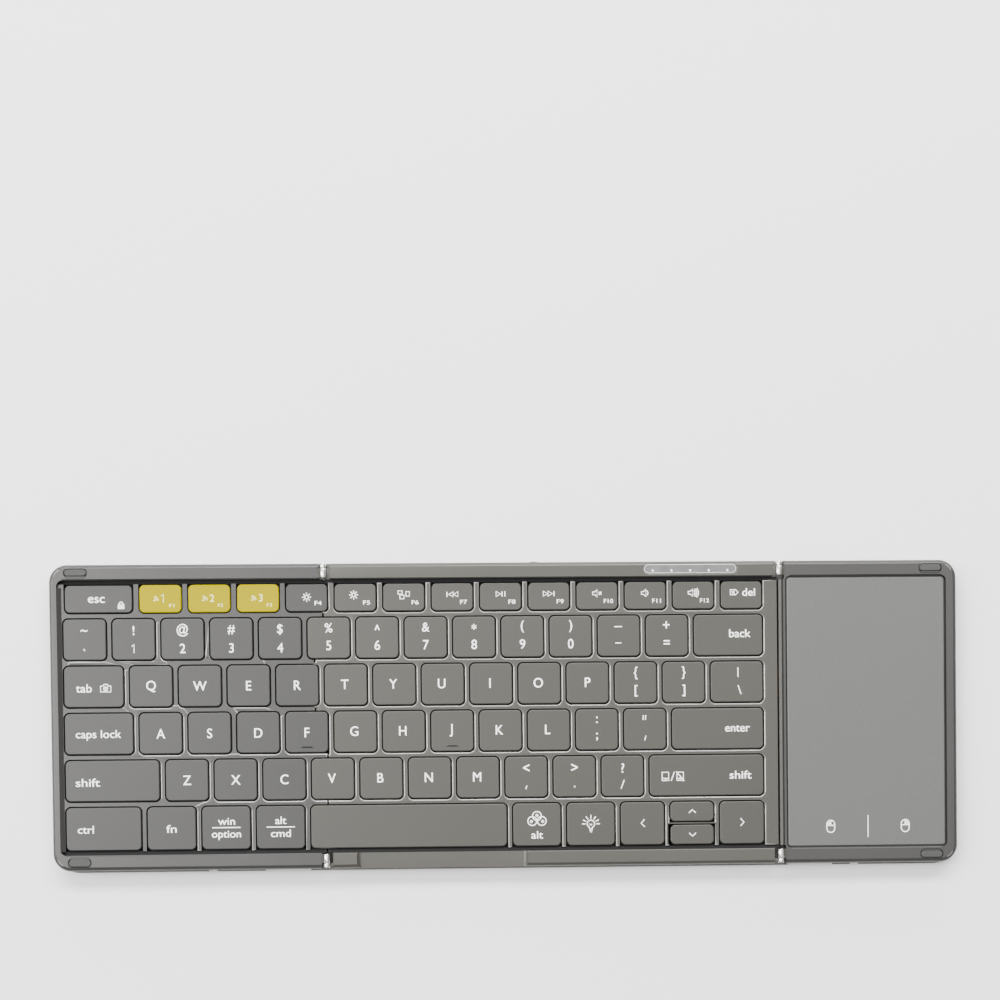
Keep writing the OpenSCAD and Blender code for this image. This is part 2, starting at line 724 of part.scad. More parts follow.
module charging_port() color("#c9ccd0") difference() {
    translate([port_x, half_d, port_z + port_h / 2]) rotate([90, 0, 0])
        linear_extrude(port_l) round_area(-port_w / 2, port_w / 2, -port_h / 2, port_h / 2, port_h / 2 - eps);
    difference() {
        translate([port_x, half_d + 1, port_z + port_h / 2]) rotate([90, 0, 0]) linear_extrude(port_l + 0.4)
            round_area(0.35 - port_w / 2, port_w / 2 - 0.35, 0.35 - port_h / 2, port_h / 2 - 0.35,
                port_h / 2 - 0.35 - eps);
        box(port_x - port_w / 2 + 1.4, port_x + port_w / 2 - 1.4, half_d - port_l, half_d - 0.8,
            port_z + port_h / 2 - 0.35, port_z + port_h / 2 + 0.35);
    }
}

module power_switch() color("#4a4a49") {
    box(knob_x - knob_w / 2, knob_x + knob_w / 2, channel_in + 1.8, half_d + knob_out,
        port_z + 0.5, port_z + 1.3);
}

module indicator_window() color([0.86, 0.88, 0.88, 0.7]) {
    layer(z_rail - window_t, z_rail) window_area(0);
    for (i = [0:light_n - 1]) translate([light_x(i), rail_mid, port_z + 0.6])
        cylinder(h = z_rail - window_t - port_z - 0.6, r = 0.6);
}

module middle_hinge_knuckles() color("#d9dadb") at_both_rails() {
    knuckle(axis_l, mid_y[0], mid_y[1], pin_r, 1);
    knuckle(axis_r, mid_y[0], mid_y[1], pin_r, -1);
}

module hinge_pins() color("#e6e6e6") at_both_rails() for (x = [axis_l, axis_r])
    translate([x, mid_y[1], z_axis]) rotate([90, 0, 0]) cylinder(h = knuckles_l, r = pin_r);

module middle_screws() color("#6f7275") screw_places() {
    translate([0, 0, z_mid_base]) cylinder(h = screw_head_h, r = screw_r * 2);
    translate([0, 0, z_mid_base]) cylinder(h = screw_top - z_mid_base, r = screw_r);
}

// ---- Flat cables ----

cable_y = (ROW_Y[2] + ROW_Y[3]) / 2;

// The room for a flat cable that crosses the hinge line at x.
module cable_room(x) {
    box(x - cable_l - 0.5, x + cable_l + 0.5, cable_y - cable_w / 2 - 0.4, cable_y + cable_w / 2 + 0.4,
        z_wing_floor, far);
}

module flat_cable(x) {
    z = z_wing_floor + 0.1;
    box(x - cable_l, x + cable_l, cable_y - cable_w / 2, cable_y + cable_w / 2, z, z + cable_t);
}

module left_flat_cable() color("#b5713a") flat_cable(axis_l);

module right_flat_cable() color("#b5713a") flat_cable(axis_r);

// ---- Left wing ----

// The slots in a wing's floor in which the runners of its cover slide.
module runner_slots(x0, x1) {
    for (s = [-1, 1]) box(x0, x1, s * runner_y - slot_w / 2, s * runner_y + slot_w / 2, 0, z_plate);
}

left_runner = axis_l - left_runner_in;
right_runner = axis_r + right_runner_in;

module bumper_area(x, s, grow) {
    translate([x, s * (half_d - 2.7)]) round_area(-bumper_l / 2 - grow, bumper_l / 2 + grow,
        -bumper_w / 2 - grow, bumper_w / 2 + grow, bumper_w / 2 + grow - eps);
}

bumper_h = 0.8;

module bumpers(x) {
    for (s = [-1, 1]) layer(z_rail - bumper_h, z_rail + axis_rise / 2) bumper_area(x, s, 0);
}

// The slope from the rail along the left end down to the first wells.
module left_slope() {
    top_x = x_left + left_rail_w;
    foot_x = top_x + left_deck_w + web_w / 2 - 0.1;
    y_rear = field_d / 2 - 1.2;
    translate([0, y_rear, 0]) rotate([90, 0, 0]) linear_extrude(y_rear + field_d / 2) polygon([
        [top_x - 0.1, z_deck - 0.1], [foot_x, z_deck - 0.1], [foot_x, z_deck], [top_x, z_rail],
        [top_x - 0.1, z_rail]
    ]);
}

module left_frame() color("#a3a29d") {
    left_frame_body();
    left_slope();
}

module left_frame_body() difference() {
    intersection() {
        edged_block(x_left, far, -half_d, half_d, z_plate, z_rail, corner_r)
            round_profile(corner_r, z_rail - z_plate, shoulder_r);
        layer(z_plate, z_rail) left_outline();
    }
    deck_x = x_left + left_rail_w;
    layer(z_deck, far) round_area(deck_x, far, -rail_in, rail_in, well_r);
    layer(z_groove, far) difference() {
        round_area(deck_x, far, -rail_in, rail_in, well_r);
        area(-far, far, -field_d / 2, field_d / 2);
    }
    box(x_left + left_rail_w - 0.2, far, -rail_in + 0.3, rail_in - 0.3, 0, z_well);
    layer(z_well - 1, far) for (r = [0:ROWS - 1]) wells(r, 0, LEFT_KEYS[r] - 1);
    rail_bevels(deck_x + well_r, axis_l);
    wing_leaves(axis_l, -1);
    for (s = [-1, 1]) layer(z_rail - bumper_h, far) bumper_area(x_left + bumper_in, s, bumper_moat);
}

module left_base() color("#8f8e8a") difference() {
    intersection() {
        layer(z_wing_base, z_plate) left_outline();
        layer(z_wing_base, z_plate) round_area(x_left, far, -half_d, half_d, corner_r);
    }
    difference() {
        box(x_left + wall, axis_l - 9, -half_d + wall, half_d - wall, z_wing_floor, far);
        for (j = [1:ROWS - 1]) box(-far, far, ROW_Y[j] - 0.5, ROW_Y[j] + 0.5, 0, far);
        for (s = [-1, 1]) box(-far, far, s * rail_in - 0.75, s * rail_in + 0.75, 0, far);
        for (x = [x_left, axis_l - 11], y = [-half_d, half_d - corner_r])
            box(x, x + corner_r, y, y + corner_r, 0, far);
    }
    runner_slots(left_runner - runner_l / 2 - runner_play, left_runner + left_slide + runner_l / 2 + runner_play);
    cable_room(axis_l);
}

module left_support_plate() color("#b9bcc0") layer(z_plate, z_membrane) intersection() {
    left_outline();
    area(x_left + left_rail_w - 0.15, far, -rail_in + 0.35, rail_in - 0.35);
}

module left_membrane() color("#e8e8e2") layer(z_membrane, z_well) intersection() {
    left_outline();
    area(x_left + left_rail_w - 0.15, far, -rail_in + 0.35, rail_in - 0.35);
}

module left_key_supports() color("#f2f2ee") for (r = [0:ROWS - 1]) key_supports(r, 0, LEFT_KEYS[r] - 1);

module left_hinge_knuckles() color("#d9dadb") at_both_rails()
    knuckle(axis_l, wing_y[0], wing_y[1], pin_r + pin_play, -1);

module left_bumpers() color("#5d5e5b") bumpers(x_left + bumper_in);

// ---- Right wing ----

module right_outline(x0) {
    for (s = [-1, 1]) {
        y_rail = [s * lip_y, s * (half_d + 1)];
        area(axis_r + rail_end_wing, far, min(y_rail), max(y_rail));
    }
    area(x0, far, -lip_y, lip_y);
}

module right_frame() color("#a3a29d") difference() {
    intersection() {
        edged_block(-far, x_right, -half_d, half_d, z_plate, z_rail, corner_r)
            round_profile(corner_r, z_rail - z_plate, shoulder_r);
        layer(z_plate, z_rail) right_outline(lip_x + lip_w + 0.1);
    }
    box(-far, rim_x, -lip_y, lip_y, z_ledge, far);
    layer(z_ledge, far) round_area(pad_x0 - pad_gap, pad_x1 + pad_gap, -rail_in, rail_in, pad_r + pad_gap);
    layer(0, far) round_area(pad_x0 - pad_gap + ledge_w, pad_x1 + pad_gap - ledge_w,
        -rail_in + ledge_w, rail_in - ledge_w, pad_r);
    rail_bevels(pad_x0 + pad_r, pad_x1 - pad_r);
    wing_leaves(axis_r, 1);
    for (s = [-1, 1]) layer(z_rail - bumper_h, far) bumper_area(x_right - bumper_in, s, bumper_moat);
}

module right_base() color("#8f8e8a") {
    difference() {
        intersection() {
            layer(z_wing_base, z_plate) right_outline(lip_x);
            layer(z_wing_base, z_plate) round_area(-far, x_right, -half_d, half_d, corner_r);
        }
        difference() {
            box(axis_r + 3, x_right - wall, -half_d + wall, half_d - wall, z_wing_floor, far);
            for (y = [-38, -13, 13, 38]) box(-far, far, y - 0.5, y + 0.5, 0, far);
            for (s = [-1, 1]) box(-far, far, s * rail_in - 1.5, s * rail_in + 0.5, 0, far);
            for (y = [-half_d, half_d - corner_r]) box(x_right - corner_r, x_right, y, y + corner_r, 0, far);
        }
        runner_slots(right_runner - right_slide - runner_l / 2 - runner_play,
            right_runner + runner_l / 2 + runner_play);
        cable_room(axis_r);
    }
    difference() {
        layer(z_wing_base, lip_top) round_area(lip_x, lip_x + lip_w, -lip_y, lip_y, lip_w / 2 - eps);
        layer(z_wing_floor, z_plate) area(-far, far, cable_y - cable_w / 2 - 0.4, cable_y + cable_w / 2 + 0.4);
    }
}

module touchpad() color("#aeada9") edged_block(pad_x0, pad_x1, -pad_y, pad_y, z_pad - pad_t, z_pad, pad_r)
    bevel_profile(pad_r, pad_t, 0.3);

module touchpad_board() color("#2f6b45") layer(z_ledge, z_ledge + pad_board_t)
    round_area(pad_x0 + 0.6, pad_x1 - 0.6, -pad_y + 0.6, pad_y - 0.6, pad_r);

module battery() color("#c7cbd1") {
    x = (pad_x0 + pad_x1) / 2;
    edged_block(x - battery_w / 2, x + battery_w / 2, -battery_d / 2, battery_d / 2,
        z_plate, z_plate + battery_t, 3) bevel_profile(3, battery_t, 0.6);
}

module right_hinge_knuckles() color("#d9dadb") at_both_rails()
    knuckle(axis_r, wing_y[0], wing_y[1], pin_r + pin_play, 1);

module right_bumpers() color("#5d5e5b") bumpers(x_right - bumper_in);

// ---- Leather covers and spines ----

// A moulded board from x0 to x1 with rims along its long sides; the child is cut off its outline.
module rimmed_board(x0, x1) {
    difference() {
        layer(rim_back, z_mid_base) intersection() {
            children();
            area(x0, x1, -far, far);
        }
        layer(-1, z_board) area(-far, far, -leather_d / 2, leather_d / 2);
    }
}

module middle_board() color("#b4b2ad") rimmed_board(axis_l - left_spine_off, axis_r + right_spine_off)
    area(-far, far, -cover_d / 2, cover_d / 2);

module middle_leather() color("#77756f")
    box(axis_l - left_spine_off, axis_r + right_spine_off, -leather_d / 2, leather_d / 2, 0, z_board);

// The outline of a cover between its inner end and its round outer end, and the same drawn in.
module cover_area(x0, x1, side, inset) {
    near = side < 0 ? x0 - far : x0 + inset;
    round_area(side > 0 ? x0 - far : x0 + inset, side > 0 ? x1 - inset : x1 + far,
        -cover_d / 2 + inset, cover_d / 2 - inset, cover_r - inset);
}

module cover_board(inner, outer, crease, runner_x, side) {
    x0 = min(inner, outer);
    x1 = max(inner, outer);
    difference() {
        layer(rim_back, z_mid_base) intersection() {
            cover_area(x0, x1, side, 0);
            area(x0, x1, -far, far);
        }
        layer(-1, z_board) cover_area(x0, x1, side, rim_w);
        x_crease = inner + side * (crease - spine_gap);
        box(x_crease - crease_w / 2, x_crease + crease_w / 2, -far, far, -1, far);
    }
    for (s = [-1, 1]) {
        y = s * runner_y;
        stem = slot_w / 2 - runner_play;
        box(runner_x - runner_l / 2, runner_x + runner_l / 2, y - stem, y + stem,
            z_mid_base, z_wing_floor + 0.1 + 0.45);
        box(runner_x - runner_l / 2, runner_x + runner_l / 2, y - runner_head / 2, y + runner_head / 2,
            z_wing_floor + 0.1, z_wing_floor + 0.1 + 0.45);
    }
}

module cover_leather(inner, outer, side) {
    x0 = min(inner, outer);
    x1 = max(inner, outer);
    layer(0, z_board) intersection() {
        cover_area(x0, x1, side, rim_w);
        area(x0, x1, -far, far);
    }
}

module left_cover_board() color("#b4b2ad")
    cover_board(axis_l - left_cover_in, axis_l - left_cover_out, left_crease, left_runner, -1);

module left_cover_leather() color("#77756f")
    cover_leather(axis_l - left_cover_in, axis_l - left_cover_out, -1);

module right_cover_board() color("#b4b2ad")
    cover_board(axis_r + right_cover_in, axis_r + right_cover_out, right_crease, right_runner, 1);

module right_cover_leather() color("#77756f")
    cover_leather(axis_r + right_cover_in, axis_r + right_cover_out, 1);

module left_spine_leather() color("#77756f") {
    x = axis_l - left_spine_off;
    box(x - spine_l, x, -leather_d / 2, leather_d / 2, 0, z_board);
}

module right_spine_leather() color("#77756f") {
    x = axis_r + right_spine_off;
    box(x, x + spine_l, -leather_d / 2, leather_d / 2, 0, z_board);
}

// ---- Keys by name ----

key_grey = "#7d7d79";

module escape_key() color(key_grey) key(0, 0);

module yellow_function_keys() color("#ebdd00") keys(0, 1, 3);

module brightness_key() color(key_grey) key(0, 4);

module left_number_keys() color(key_grey) keys(1, 0, 4);

module tab_and_letter_keys() color(key_grey) keys(2, 0, 4);

module caps_and_letter_keys() color(key_grey) {
    keys(3, 0, 4);
    homing_bar(3, 4);
}

module left_shift_key() color(key_grey) key(4, 0);

module left_lower_letter_keys() color(key_grey) keys(4, 1, 3);

module left_command_keys() color(key_grey) keys(5, 0, 3);

module middle_function_keys() color(key_grey) keys(0, 5, 13);

module middle_number_keys() color(key_grey) keys(1, 5, 12);

module backspace_key() color(key_grey) key(1, 13);

module upper_letter_keys() color(key_grey) keys(2, 5, 13);

module home_letter_keys() color(key_grey) {
    keys(3, 5, 11);
    homing_bar(3, 7);
}

module enter_key() color(key_grey) key(3, 12);

module lower_letter_keys() color(key_grey) keys(4, 4, 10);

module right_shift_key() color(key_grey) key(4, 11);

module space_bar() color(key_grey) key(5, 4);

module right_command_keys() color(key_grey) keys(5, 5, 6);

module left_arrow_key() color(key_grey) key(5, 7);

module up_arrow_key() color(key_grey) half_key(5, 8, true);

module down_arrow_key() color(key_grey) half_key(5, 8, false);

module right_arrow_key() color(key_grey) key(5, 9);

middle_frame();
middle_base();
middle_board();
middle_leather();
middle_support_plate();
middle_membrane();
middle_key_supports();
main_circuit_board();
charging_port();
power_switch();
indicator_window();
middle_hinge_knuckles();
hinge_pins();
middle_screws();
left_frame();
left_base();
left_support_plate();
left_membrane();
left_key_supports();
left_hinge_knuckles();
left_bumpers();
right_frame();
right_base();
touchpad();
touchpad_board();
battery();
right_hinge_knuckles();
right_bumpers();
left_cover_board();
left_cover_leather();
left_spine_leather();
right_cover_board();
right_cover_leather();
right_spine_leather();
left_flat_cable();
right_flat_cable();
escape_key();
yellow_function_keys();
brightness_key();
left_number_keys();
tab_and_letter_keys();
caps_and_letter_keys();
left_shift_key();
left_lower_letter_keys();
left_command_keys();
middle_function_keys();
middle_number_keys();
backspace_key();
upper_letter_keys();
home_letter_keys();
enter_key();
lower_letter_keys();
right_shift_key();
space_bar();
right_command_keys();
left_arrow_key();
up_arrow_key();
down_arrow_key();
right_arrow_key();
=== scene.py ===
"""Looks of the folding keyboard: painted boards, printed key caps, hinges, lights and leather."""

import json
import math

import bmesh
import bpy
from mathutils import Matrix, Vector


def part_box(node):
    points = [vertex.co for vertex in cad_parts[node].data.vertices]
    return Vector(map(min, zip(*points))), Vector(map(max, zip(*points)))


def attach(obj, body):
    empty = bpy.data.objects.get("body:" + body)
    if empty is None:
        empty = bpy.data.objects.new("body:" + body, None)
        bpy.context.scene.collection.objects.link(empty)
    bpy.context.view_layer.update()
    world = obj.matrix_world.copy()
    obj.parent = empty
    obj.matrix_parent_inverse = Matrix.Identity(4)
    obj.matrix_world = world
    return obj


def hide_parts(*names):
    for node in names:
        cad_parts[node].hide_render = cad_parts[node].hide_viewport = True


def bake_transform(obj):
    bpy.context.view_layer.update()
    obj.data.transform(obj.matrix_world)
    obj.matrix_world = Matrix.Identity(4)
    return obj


MM = 0.001
DECK_DROP = 1.3 * MM
RAIL_WIDTH = 5.3 * MM
SHOULDER = 1.6 * MM

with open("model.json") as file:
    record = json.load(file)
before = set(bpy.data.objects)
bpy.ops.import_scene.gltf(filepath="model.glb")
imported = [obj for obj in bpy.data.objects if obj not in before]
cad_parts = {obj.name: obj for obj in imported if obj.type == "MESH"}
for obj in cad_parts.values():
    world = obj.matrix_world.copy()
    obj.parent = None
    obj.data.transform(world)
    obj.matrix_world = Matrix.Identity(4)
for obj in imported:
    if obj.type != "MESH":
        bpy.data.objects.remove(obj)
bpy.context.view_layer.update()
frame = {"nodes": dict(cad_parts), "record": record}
nodes = frame["nodes"]
body_of = {node: body for body, members in frame["record"]["behaviour"]["bodies"].items() for node in members}

# ---- Levels and edges of the boards, from the frame ----

rail_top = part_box("middle_frame")[1].z
deck_top = rail_top - DECK_DROP
cap_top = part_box("escape_key")[1].z
left_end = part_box("left_frame")[0].x
right_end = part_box("right_frame")[1].x
half_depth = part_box("middle_frame")[1].y
rail_inside = half_depth - RAIL_WIDTH


# ---- Handling of objects ----

def hold(piece):
    """Leaves only this piece selected and active."""
    bpy.ops.object.select_all(action="DESELECT")
    piece.select_set(True)
    bpy.context.view_layer.objects.active = piece


def rename(piece, name):
    """Names a piece and its mesh."""
    piece.name = piece.data.name = name


def settle(piece):
    """Puts the piece's place into its mesh."""
    hold(piece)
    bpy.ops.object.transform_apply(location=True, rotation=True, scale=True)
    return piece


def join(pieces, name):
    """Makes one piece of several."""
    hold(pieces[0])
    for piece in pieces:
        piece.select_set(True)
    if len(pieces) > 1:
        bpy.ops.object.join()
    rename(pieces[0], name)
    return pieces[0]


def paint(piece, material):
    """Gives the whole piece one material."""
    piece.data.materials.clear()
    piece.data.materials.append(material)


def finish_piece(piece, node, material):
    """Paints a new piece, and lets it ride on the body of a CAD node."""
    paint(piece, material)
    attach(piece, body_of[node])
    return piece


# What counts as level, as one place and as a sharp edge; the longest corner of a ring, in widths of the ring.
LEVEL_SLACK = 0.02 * MM
MERGE_DISTANCE = 0.002 * MM
RING_MERGE_DISTANCE = 0.0002 * MM
LONGEST_MITRE = 1.5
SHARP = math.radians(20)


def cad_copy(node, name):
    """A merged copy of a CAD node, to be softened and shown in its place."""
    piece = bpy.data.objects.new(name, nodes[node].data.copy())
    bpy.context.scene.collection.objects.link(piece)
    hold(piece)
    bpy.ops.mesh.customdata_custom_splitnormals_clear()
    for vert in piece.data.vertices:
        for level in (deck_top, rail_top):
            if abs(vert.co.z - level) < LEVEL_SLACK:
                vert.co.z = level
    bpy.ops.object.mode_set(mode="EDIT")
    bpy.ops.mesh.select_all(action="SELECT")
    bpy.ops.mesh.remove_doubles(threshold=MERGE_DISTANCE)
    bpy.ops.mesh.dissolve_limited(angle_limit=math.radians(0.5))
    bpy.ops.object.mode_set(mode="OBJECT")
    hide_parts(node)
    return piece


def soften(piece, width, steps, rule):
    """Bevels the outer edges of a piece that the rule picks."""
    hold(piece)
    bpy.ops.object.mode_set(mode="EDIT")
    bpy.ops.mesh.select_mode(type="EDGE")
    bpy.ops.mesh.select_all(action="DESELECT")
    mesh = bmesh.from_edit_mesh(piece.data)
    for edge in mesh.edges:
        outer = len(edge.link_faces) == 2 and edge.calc_face_angle_signed(0.0) > SHARP
        edge.select_set(outer and rule(edge))
    bmesh.update_edit_mesh(piece.data)
    bpy.ops.mesh.bevel(offset=width, segments=steps, profile=0.5, affect="EDGES", clamp_overlap=False)
    bpy.ops.object.mode_set(mode="OBJECT")


def pick_flat(piece, level):
    """Selects the level faces at a height, and gives the mesh that is being edited."""
    bpy.ops.mesh.select_mode(type="FACE")
    bpy.ops.mesh.select_all(action="DESELECT")
    mesh = bmesh.from_edit_mesh(piece.data)
    for face in mesh.faces:
        face.select_set(face.normal.z > 0.999 and abs(face.calc_center_bounds().z - level) < 0.005 * MM)
    bmesh.update_edit_mesh(piece.data)
    return mesh


def pick_edges(piece, faces):
    """Selects the edges that so many faces share, and tells whether there are any."""
    bpy.ops.mesh.select_mode(type="EDGE")
    bpy.ops.mesh.select_all(action="DESELECT")
    mesh = bmesh.from_edit_mesh(piece.data)
    for edge in mesh.edges:
        edge.select_set(len(edge.link_faces) == faces)
    found = any(edge.select for edge in mesh.edges)
    bmesh.update_edit_mesh(piece.data)
    return found


def refill(piece, level):
    """Makes the level faces at a height anew from their edges and holes, all facing up."""
    pick_flat(piece, level)
    bpy.ops.mesh.delete(type="ONLY_FACE")
    if pick_edges(piece, 0):
        bpy.ops.mesh.delete(type="EDGE")
    if pick_edges(piece, 1):
        bpy.ops.mesh.fill(use_beauty=True)
        bpy.ops.mesh.select_mode(type="FACE")
        mesh = bmesh.from_edit_mesh(piece.data)
        for face in mesh.faces:
            face.normal_update()
            face.select_set(face.select and face.normal.z < 0)
        bmesh.update_edit_mesh(piece.data)
        bpy.ops.mesh.flip_normals()
    bpy.ops.mesh.select_all(action="SELECT")
    bpy.ops.mesh.delete_loose()


def spot(vert):
    """A vertex's place from above, rounded, to know it again."""
    return (round(vert.co.x, 7), round(vert.co.y, 7))


def ease_top(piece, level, profile, share):
    """Slopes the outer edge of the level faces at a height, by insets that each lower the edge before."""
    hold(piece)
    bpy.ops.object.mode_set(mode="EDIT")
    mesh = pick_flat(piece, level)
    rim_edges = [edge for edge in mesh.edges if sum(face.select for face in edge.link_faces) == 1]
    kept = {spot(vert) for edge in rim_edges for vert in edge.verts
            if edge.calc_face_angle_signed(0.0) < SHARP}
    for width, drop in profile:
        bpy.ops.mesh.inset(use_boundary=True, use_even_offset=True, thickness=width * MM, depth=0)
        mesh = bmesh.from_edit_mesh(piece.data)
        inner = {vert for face in mesh.faces if face.select for vert in face.verts}
        ring = [vert for vert in mesh.verts
                if vert in inner and not all(face.select for face in vert.link_faces)]
        pairs = [(vert, edge.other_vert(vert)) for vert in ring
                 for edge in vert.link_edges if edge.other_vert(vert) not in inner]
        for vert, old in pairs:
            part = 0.0 if spot(old) in kept else share(old.co)
            move = (vert.co - old.co).to_2d()
            spike = max(1.0, move.length / (LONGEST_MITRE * width * MM))
            vert.co.x = old.co.x + move.x * part / spike
            vert.co.y = old.co.y + move.y * part / spike
            old.co.z = level - drop * part * MM
        ends = [vert for pair in pairs for vert in pair]
        bmesh.ops.remove_doubles(mesh, verts=ends, dist=RING_MERGE_DISTANCE)
        bmesh.update_edit_mesh(piece.data)
    if level == deck_top:
        refill(piece, level)
    bpy.ops.object.mode_set(mode="OBJECT")


def smooth(piece, degrees=40):
    """Shades the bevels smooth and keeps the flat faces flat."""
    hold(piece)
    bpy.ops.object.shade_smooth_by_angle(angle=math.radians(degrees))
    weigh = piece.modifiers.new("flat_faces", "WEIGHTED_NORMAL")
    weigh.keep_sharp = True
    weigh.weight = 90
    bpy.ops.object.modifier_apply(modifier=weigh.name)


def middle_of(edge):
    """The middle of an edge."""
    return (edge.verts[0].co + edge.verts[1].co) / 2


def between_top_and_wall(edge):
    """True for an edge where a level top meets an upright wall."""
    up = [abs(face.normal.z) for face in edge.link_faces]
    return max(up) > 0.95 and min(up) < 0.2


# ---- Materials ----

def add_node(tree, kind, **values):
    """A node with its properties and the values of its sockets; a socket as a value is linked."""
    node = tree.nodes.new(kind)
    for name, value in values.items():
        if hasattr(node, name) and not isinstance(value, dict):
            setattr(node, name, value)
    for socket, value in values.get("sockets", {}).items():
        if isinstance(value, bpy.types.NodeSocket):
            tree.links.new(value, node.inputs[socket])
        else:
            node.inputs[socket].default_value = value
    return node


def calculate(tree, operation, a, b=0.0):
    """The output of a Math node on two numbers or sockets."""
    return add_node(tree, "ShaderNodeMath", operation=operation, sockets={0: a, 1: b}).outputs[0]


def object_place(tree):
    """The output with each point's place on its object."""
    return add_node(tree, "ShaderNodeTexCoord").outputs["Object"]


def noise(tree, place, scale, detail=2.0, roughness=0.5):
    """The value of a Noise node at a place."""
    return add_node(tree, "ShaderNodeTexNoise", sockets={
        "Vector": place, "Scale": scale, "Detail": detail, "Roughness": roughness}).outputs[0]


def blend_colours(tree, factor, first, second):
    """The output of a Mix node between two colours."""
    node = add_node(tree, "ShaderNodeMix", data_type="RGBA")
    for socket, value in ((0, factor), (6, first), (7, second)):
        if isinstance(value, bpy.types.NodeSocket):
            tree.links.new(value, node.inputs[socket])
        else:
            node.inputs[socket].default_value = value
    return node.outputs[2]


def new_group(name, inputs, outputs):
    """An empty shader node group with named sockets, its first node and its last."""
    group = bpy.data.node_groups.new(name, "ShaderNodeTree")
    for label, kind, value in inputs:
        group.interface.new_socket(label, in_out="INPUT", socket_type=kind).default_value = value
    for label, kind in outputs:
        group.interface.new_socket(label, in_out="OUTPUT", socket_type=kind)
    return group, group.nodes.new("NodeGroupInput"), group.nodes.new("NodeGroupOutput")


def make_grain():
    """Fine flakes of a metallic paint over slow, faint clouds."""
    group, start, end = new_group(
        "paint_grain",
        [("Colour", "NodeSocketColor", (0.5, 0.5, 0.5, 1)),
         ("Flake Colour", "NodeSocketColor", (0.6, 0.6, 0.6, 1)),
         ("Flakes per Metre", "NodeSocketFloat", 2500.0), ("Amount", "NodeSocketFloat", 0.5),
         ("Cloud", "NodeSocketFloat", 0.1)],
        [("Colour", "NodeSocketColor"), ("Height", "NodeSocketFloat")])
    place = object_place(group)
    flakes = noise(group, place, start.outputs["Flakes per Metre"], detail=1.0, roughness=0.7)
    clouds = noise(group, place, 22.0)
    sparkle = add_node(group, "ShaderNodeMapRange", sockets={
        "Value": flakes, "From Min": 0.3, "From Max": 0.7, "To Min": -0.5, "To Max": 0.5}).outputs[0]
    share = calculate(group, "MULTIPLY", sparkle, start.outputs["Amount"])
    cloud = calculate(group, "MULTIPLY", calculate(group, "SUBTRACT", clouds, 0.5), start.outputs["Cloud"])
    mix = calculate(group, "ADD", calculate(group, "ADD", share, cloud), 0.5)
    colour = blend_colours(group, mix, start.outputs["Colour"], start.outputs["Flake Colour"])
    group.links.new(colour, end.inputs["Colour"])
    group.links.new(flakes, end.inputs["Height"])
    return group


def make_recess_shade():
    """A mask of what lies below a level inside the rails, for the painted shade in the gaps between caps and
    wells.
    """
    group, start, end = new_group(
        "recess_shade",
        [("Level", "NodeSocketFloat", 0.0), ("Half Depth", "NodeSocketFloat", 0.05),
         ("Left", "NodeSocketFloat", -0.15), ("Right", "NodeSocketFloat", 0.15)],
        [("Mask", "NodeSocketFloat")])
    place = object_place(group)
    axes = add_node(group, "ShaderNodeSeparateXYZ", sockets={0: place}).outputs
    low = calculate(group, "LESS_THAN", axes["Z"], start.outputs["Level"])
    deep = calculate(group, "LESS_THAN", calculate(group, "ABSOLUTE", axes["Y"]), start.outputs["Half Depth"])
    right_of = calculate(group, "GREATER_THAN", axes["X"], start.outputs["Left"])
    left_of = calculate(group, "LESS_THAN", axes["X"], start.outputs["Right"])
    inside = calculate(group, "MULTIPLY", calculate(group, "MULTIPLY", low, deep),
                       calculate(group, "MULTIPLY", right_of, left_of))
    group.links.new(inside, end.inputs["Mask"])
    return group


def make_pebbles():
    """The rounded pebbles of grained leather, with creases between them that are painted darker: painted
    shade.
    """
    group, start, end = new_group(
        "pebbles",
        [("Colour", "NodeSocketColor", (0.2, 0.2, 0.2, 1)),
         ("Crease Shade", "NodeSocketColor", (0.1, 0.1, 0.1, 1)),
         ("Pebbles per Metre", "NodeSocketFloat", 900.0)],
        [("Colour", "NodeSocketColor"), ("Height", "NodeSocketFloat")])
    place = object_place(group)
    warp = add_node(group, "ShaderNodeTexNoise", sockets={"Vector": place, "Scale": 500.0, "Detail": 2.0})
    shift = add_node(group, "ShaderNodeVectorMath", operation="SCALE", sockets={
        0: warp.outputs["Color"], "Scale": 0.0009}).outputs[0]
    bent = add_node(group, "ShaderNodeVectorMath", operation="ADD", sockets={0: place, 1: shift}).outputs[0]
    cells = add_node(group, "ShaderNodeTexVoronoi", feature="DISTANCE_TO_EDGE", sockets={
        "Vector": bent, "Scale": start.outputs["Pebbles per Metre"]}).outputs["Distance"]
    dome = add_node(group, "ShaderNodeMapRange", interpolation_type="SMOOTHSTEP", sockets={
        "Value": cells, "From Min": 0.0, "From Max": 0.3}).outputs[0]
    pores = noise(group, place, 4500.0)
    height = calculate(group, "ADD", dome, calculate(group, "MULTIPLY", pores, 0.25))
    # The low creases get the darker colour: painted shade.
    colour = blend_colours(group, dome, start.outputs["Crease Shade"], start.outputs["Colour"])
    group.links.new(colour, end.inputs["Colour"])
    group.links.new(height, end.inputs["Height"])
    return group


grain = make_grain()
recess_shade = make_recess_shade()
pebbles = make_pebbles()


def new_material(name, roughness, metallic=0.0, coat=0.0, specular=0.5):
    """A material with its tree and its shader, whose plain values are set."""
    material = bpy.data.materials.new(name)
    material.use_nodes = True
    tree = material.node_tree
    shader = tree.nodes["Principled BSDF"]
    shader.inputs["Roughness"].default_value = roughness
    shader.inputs["Metallic"].default_value = metallic
    shader.inputs["Coat Weight"].default_value = coat
    shader.inputs["Coat Roughness"].default_value = 0.3
    shader.inputs["Specular IOR Level"].default_value = specular
    return material, tree, shader


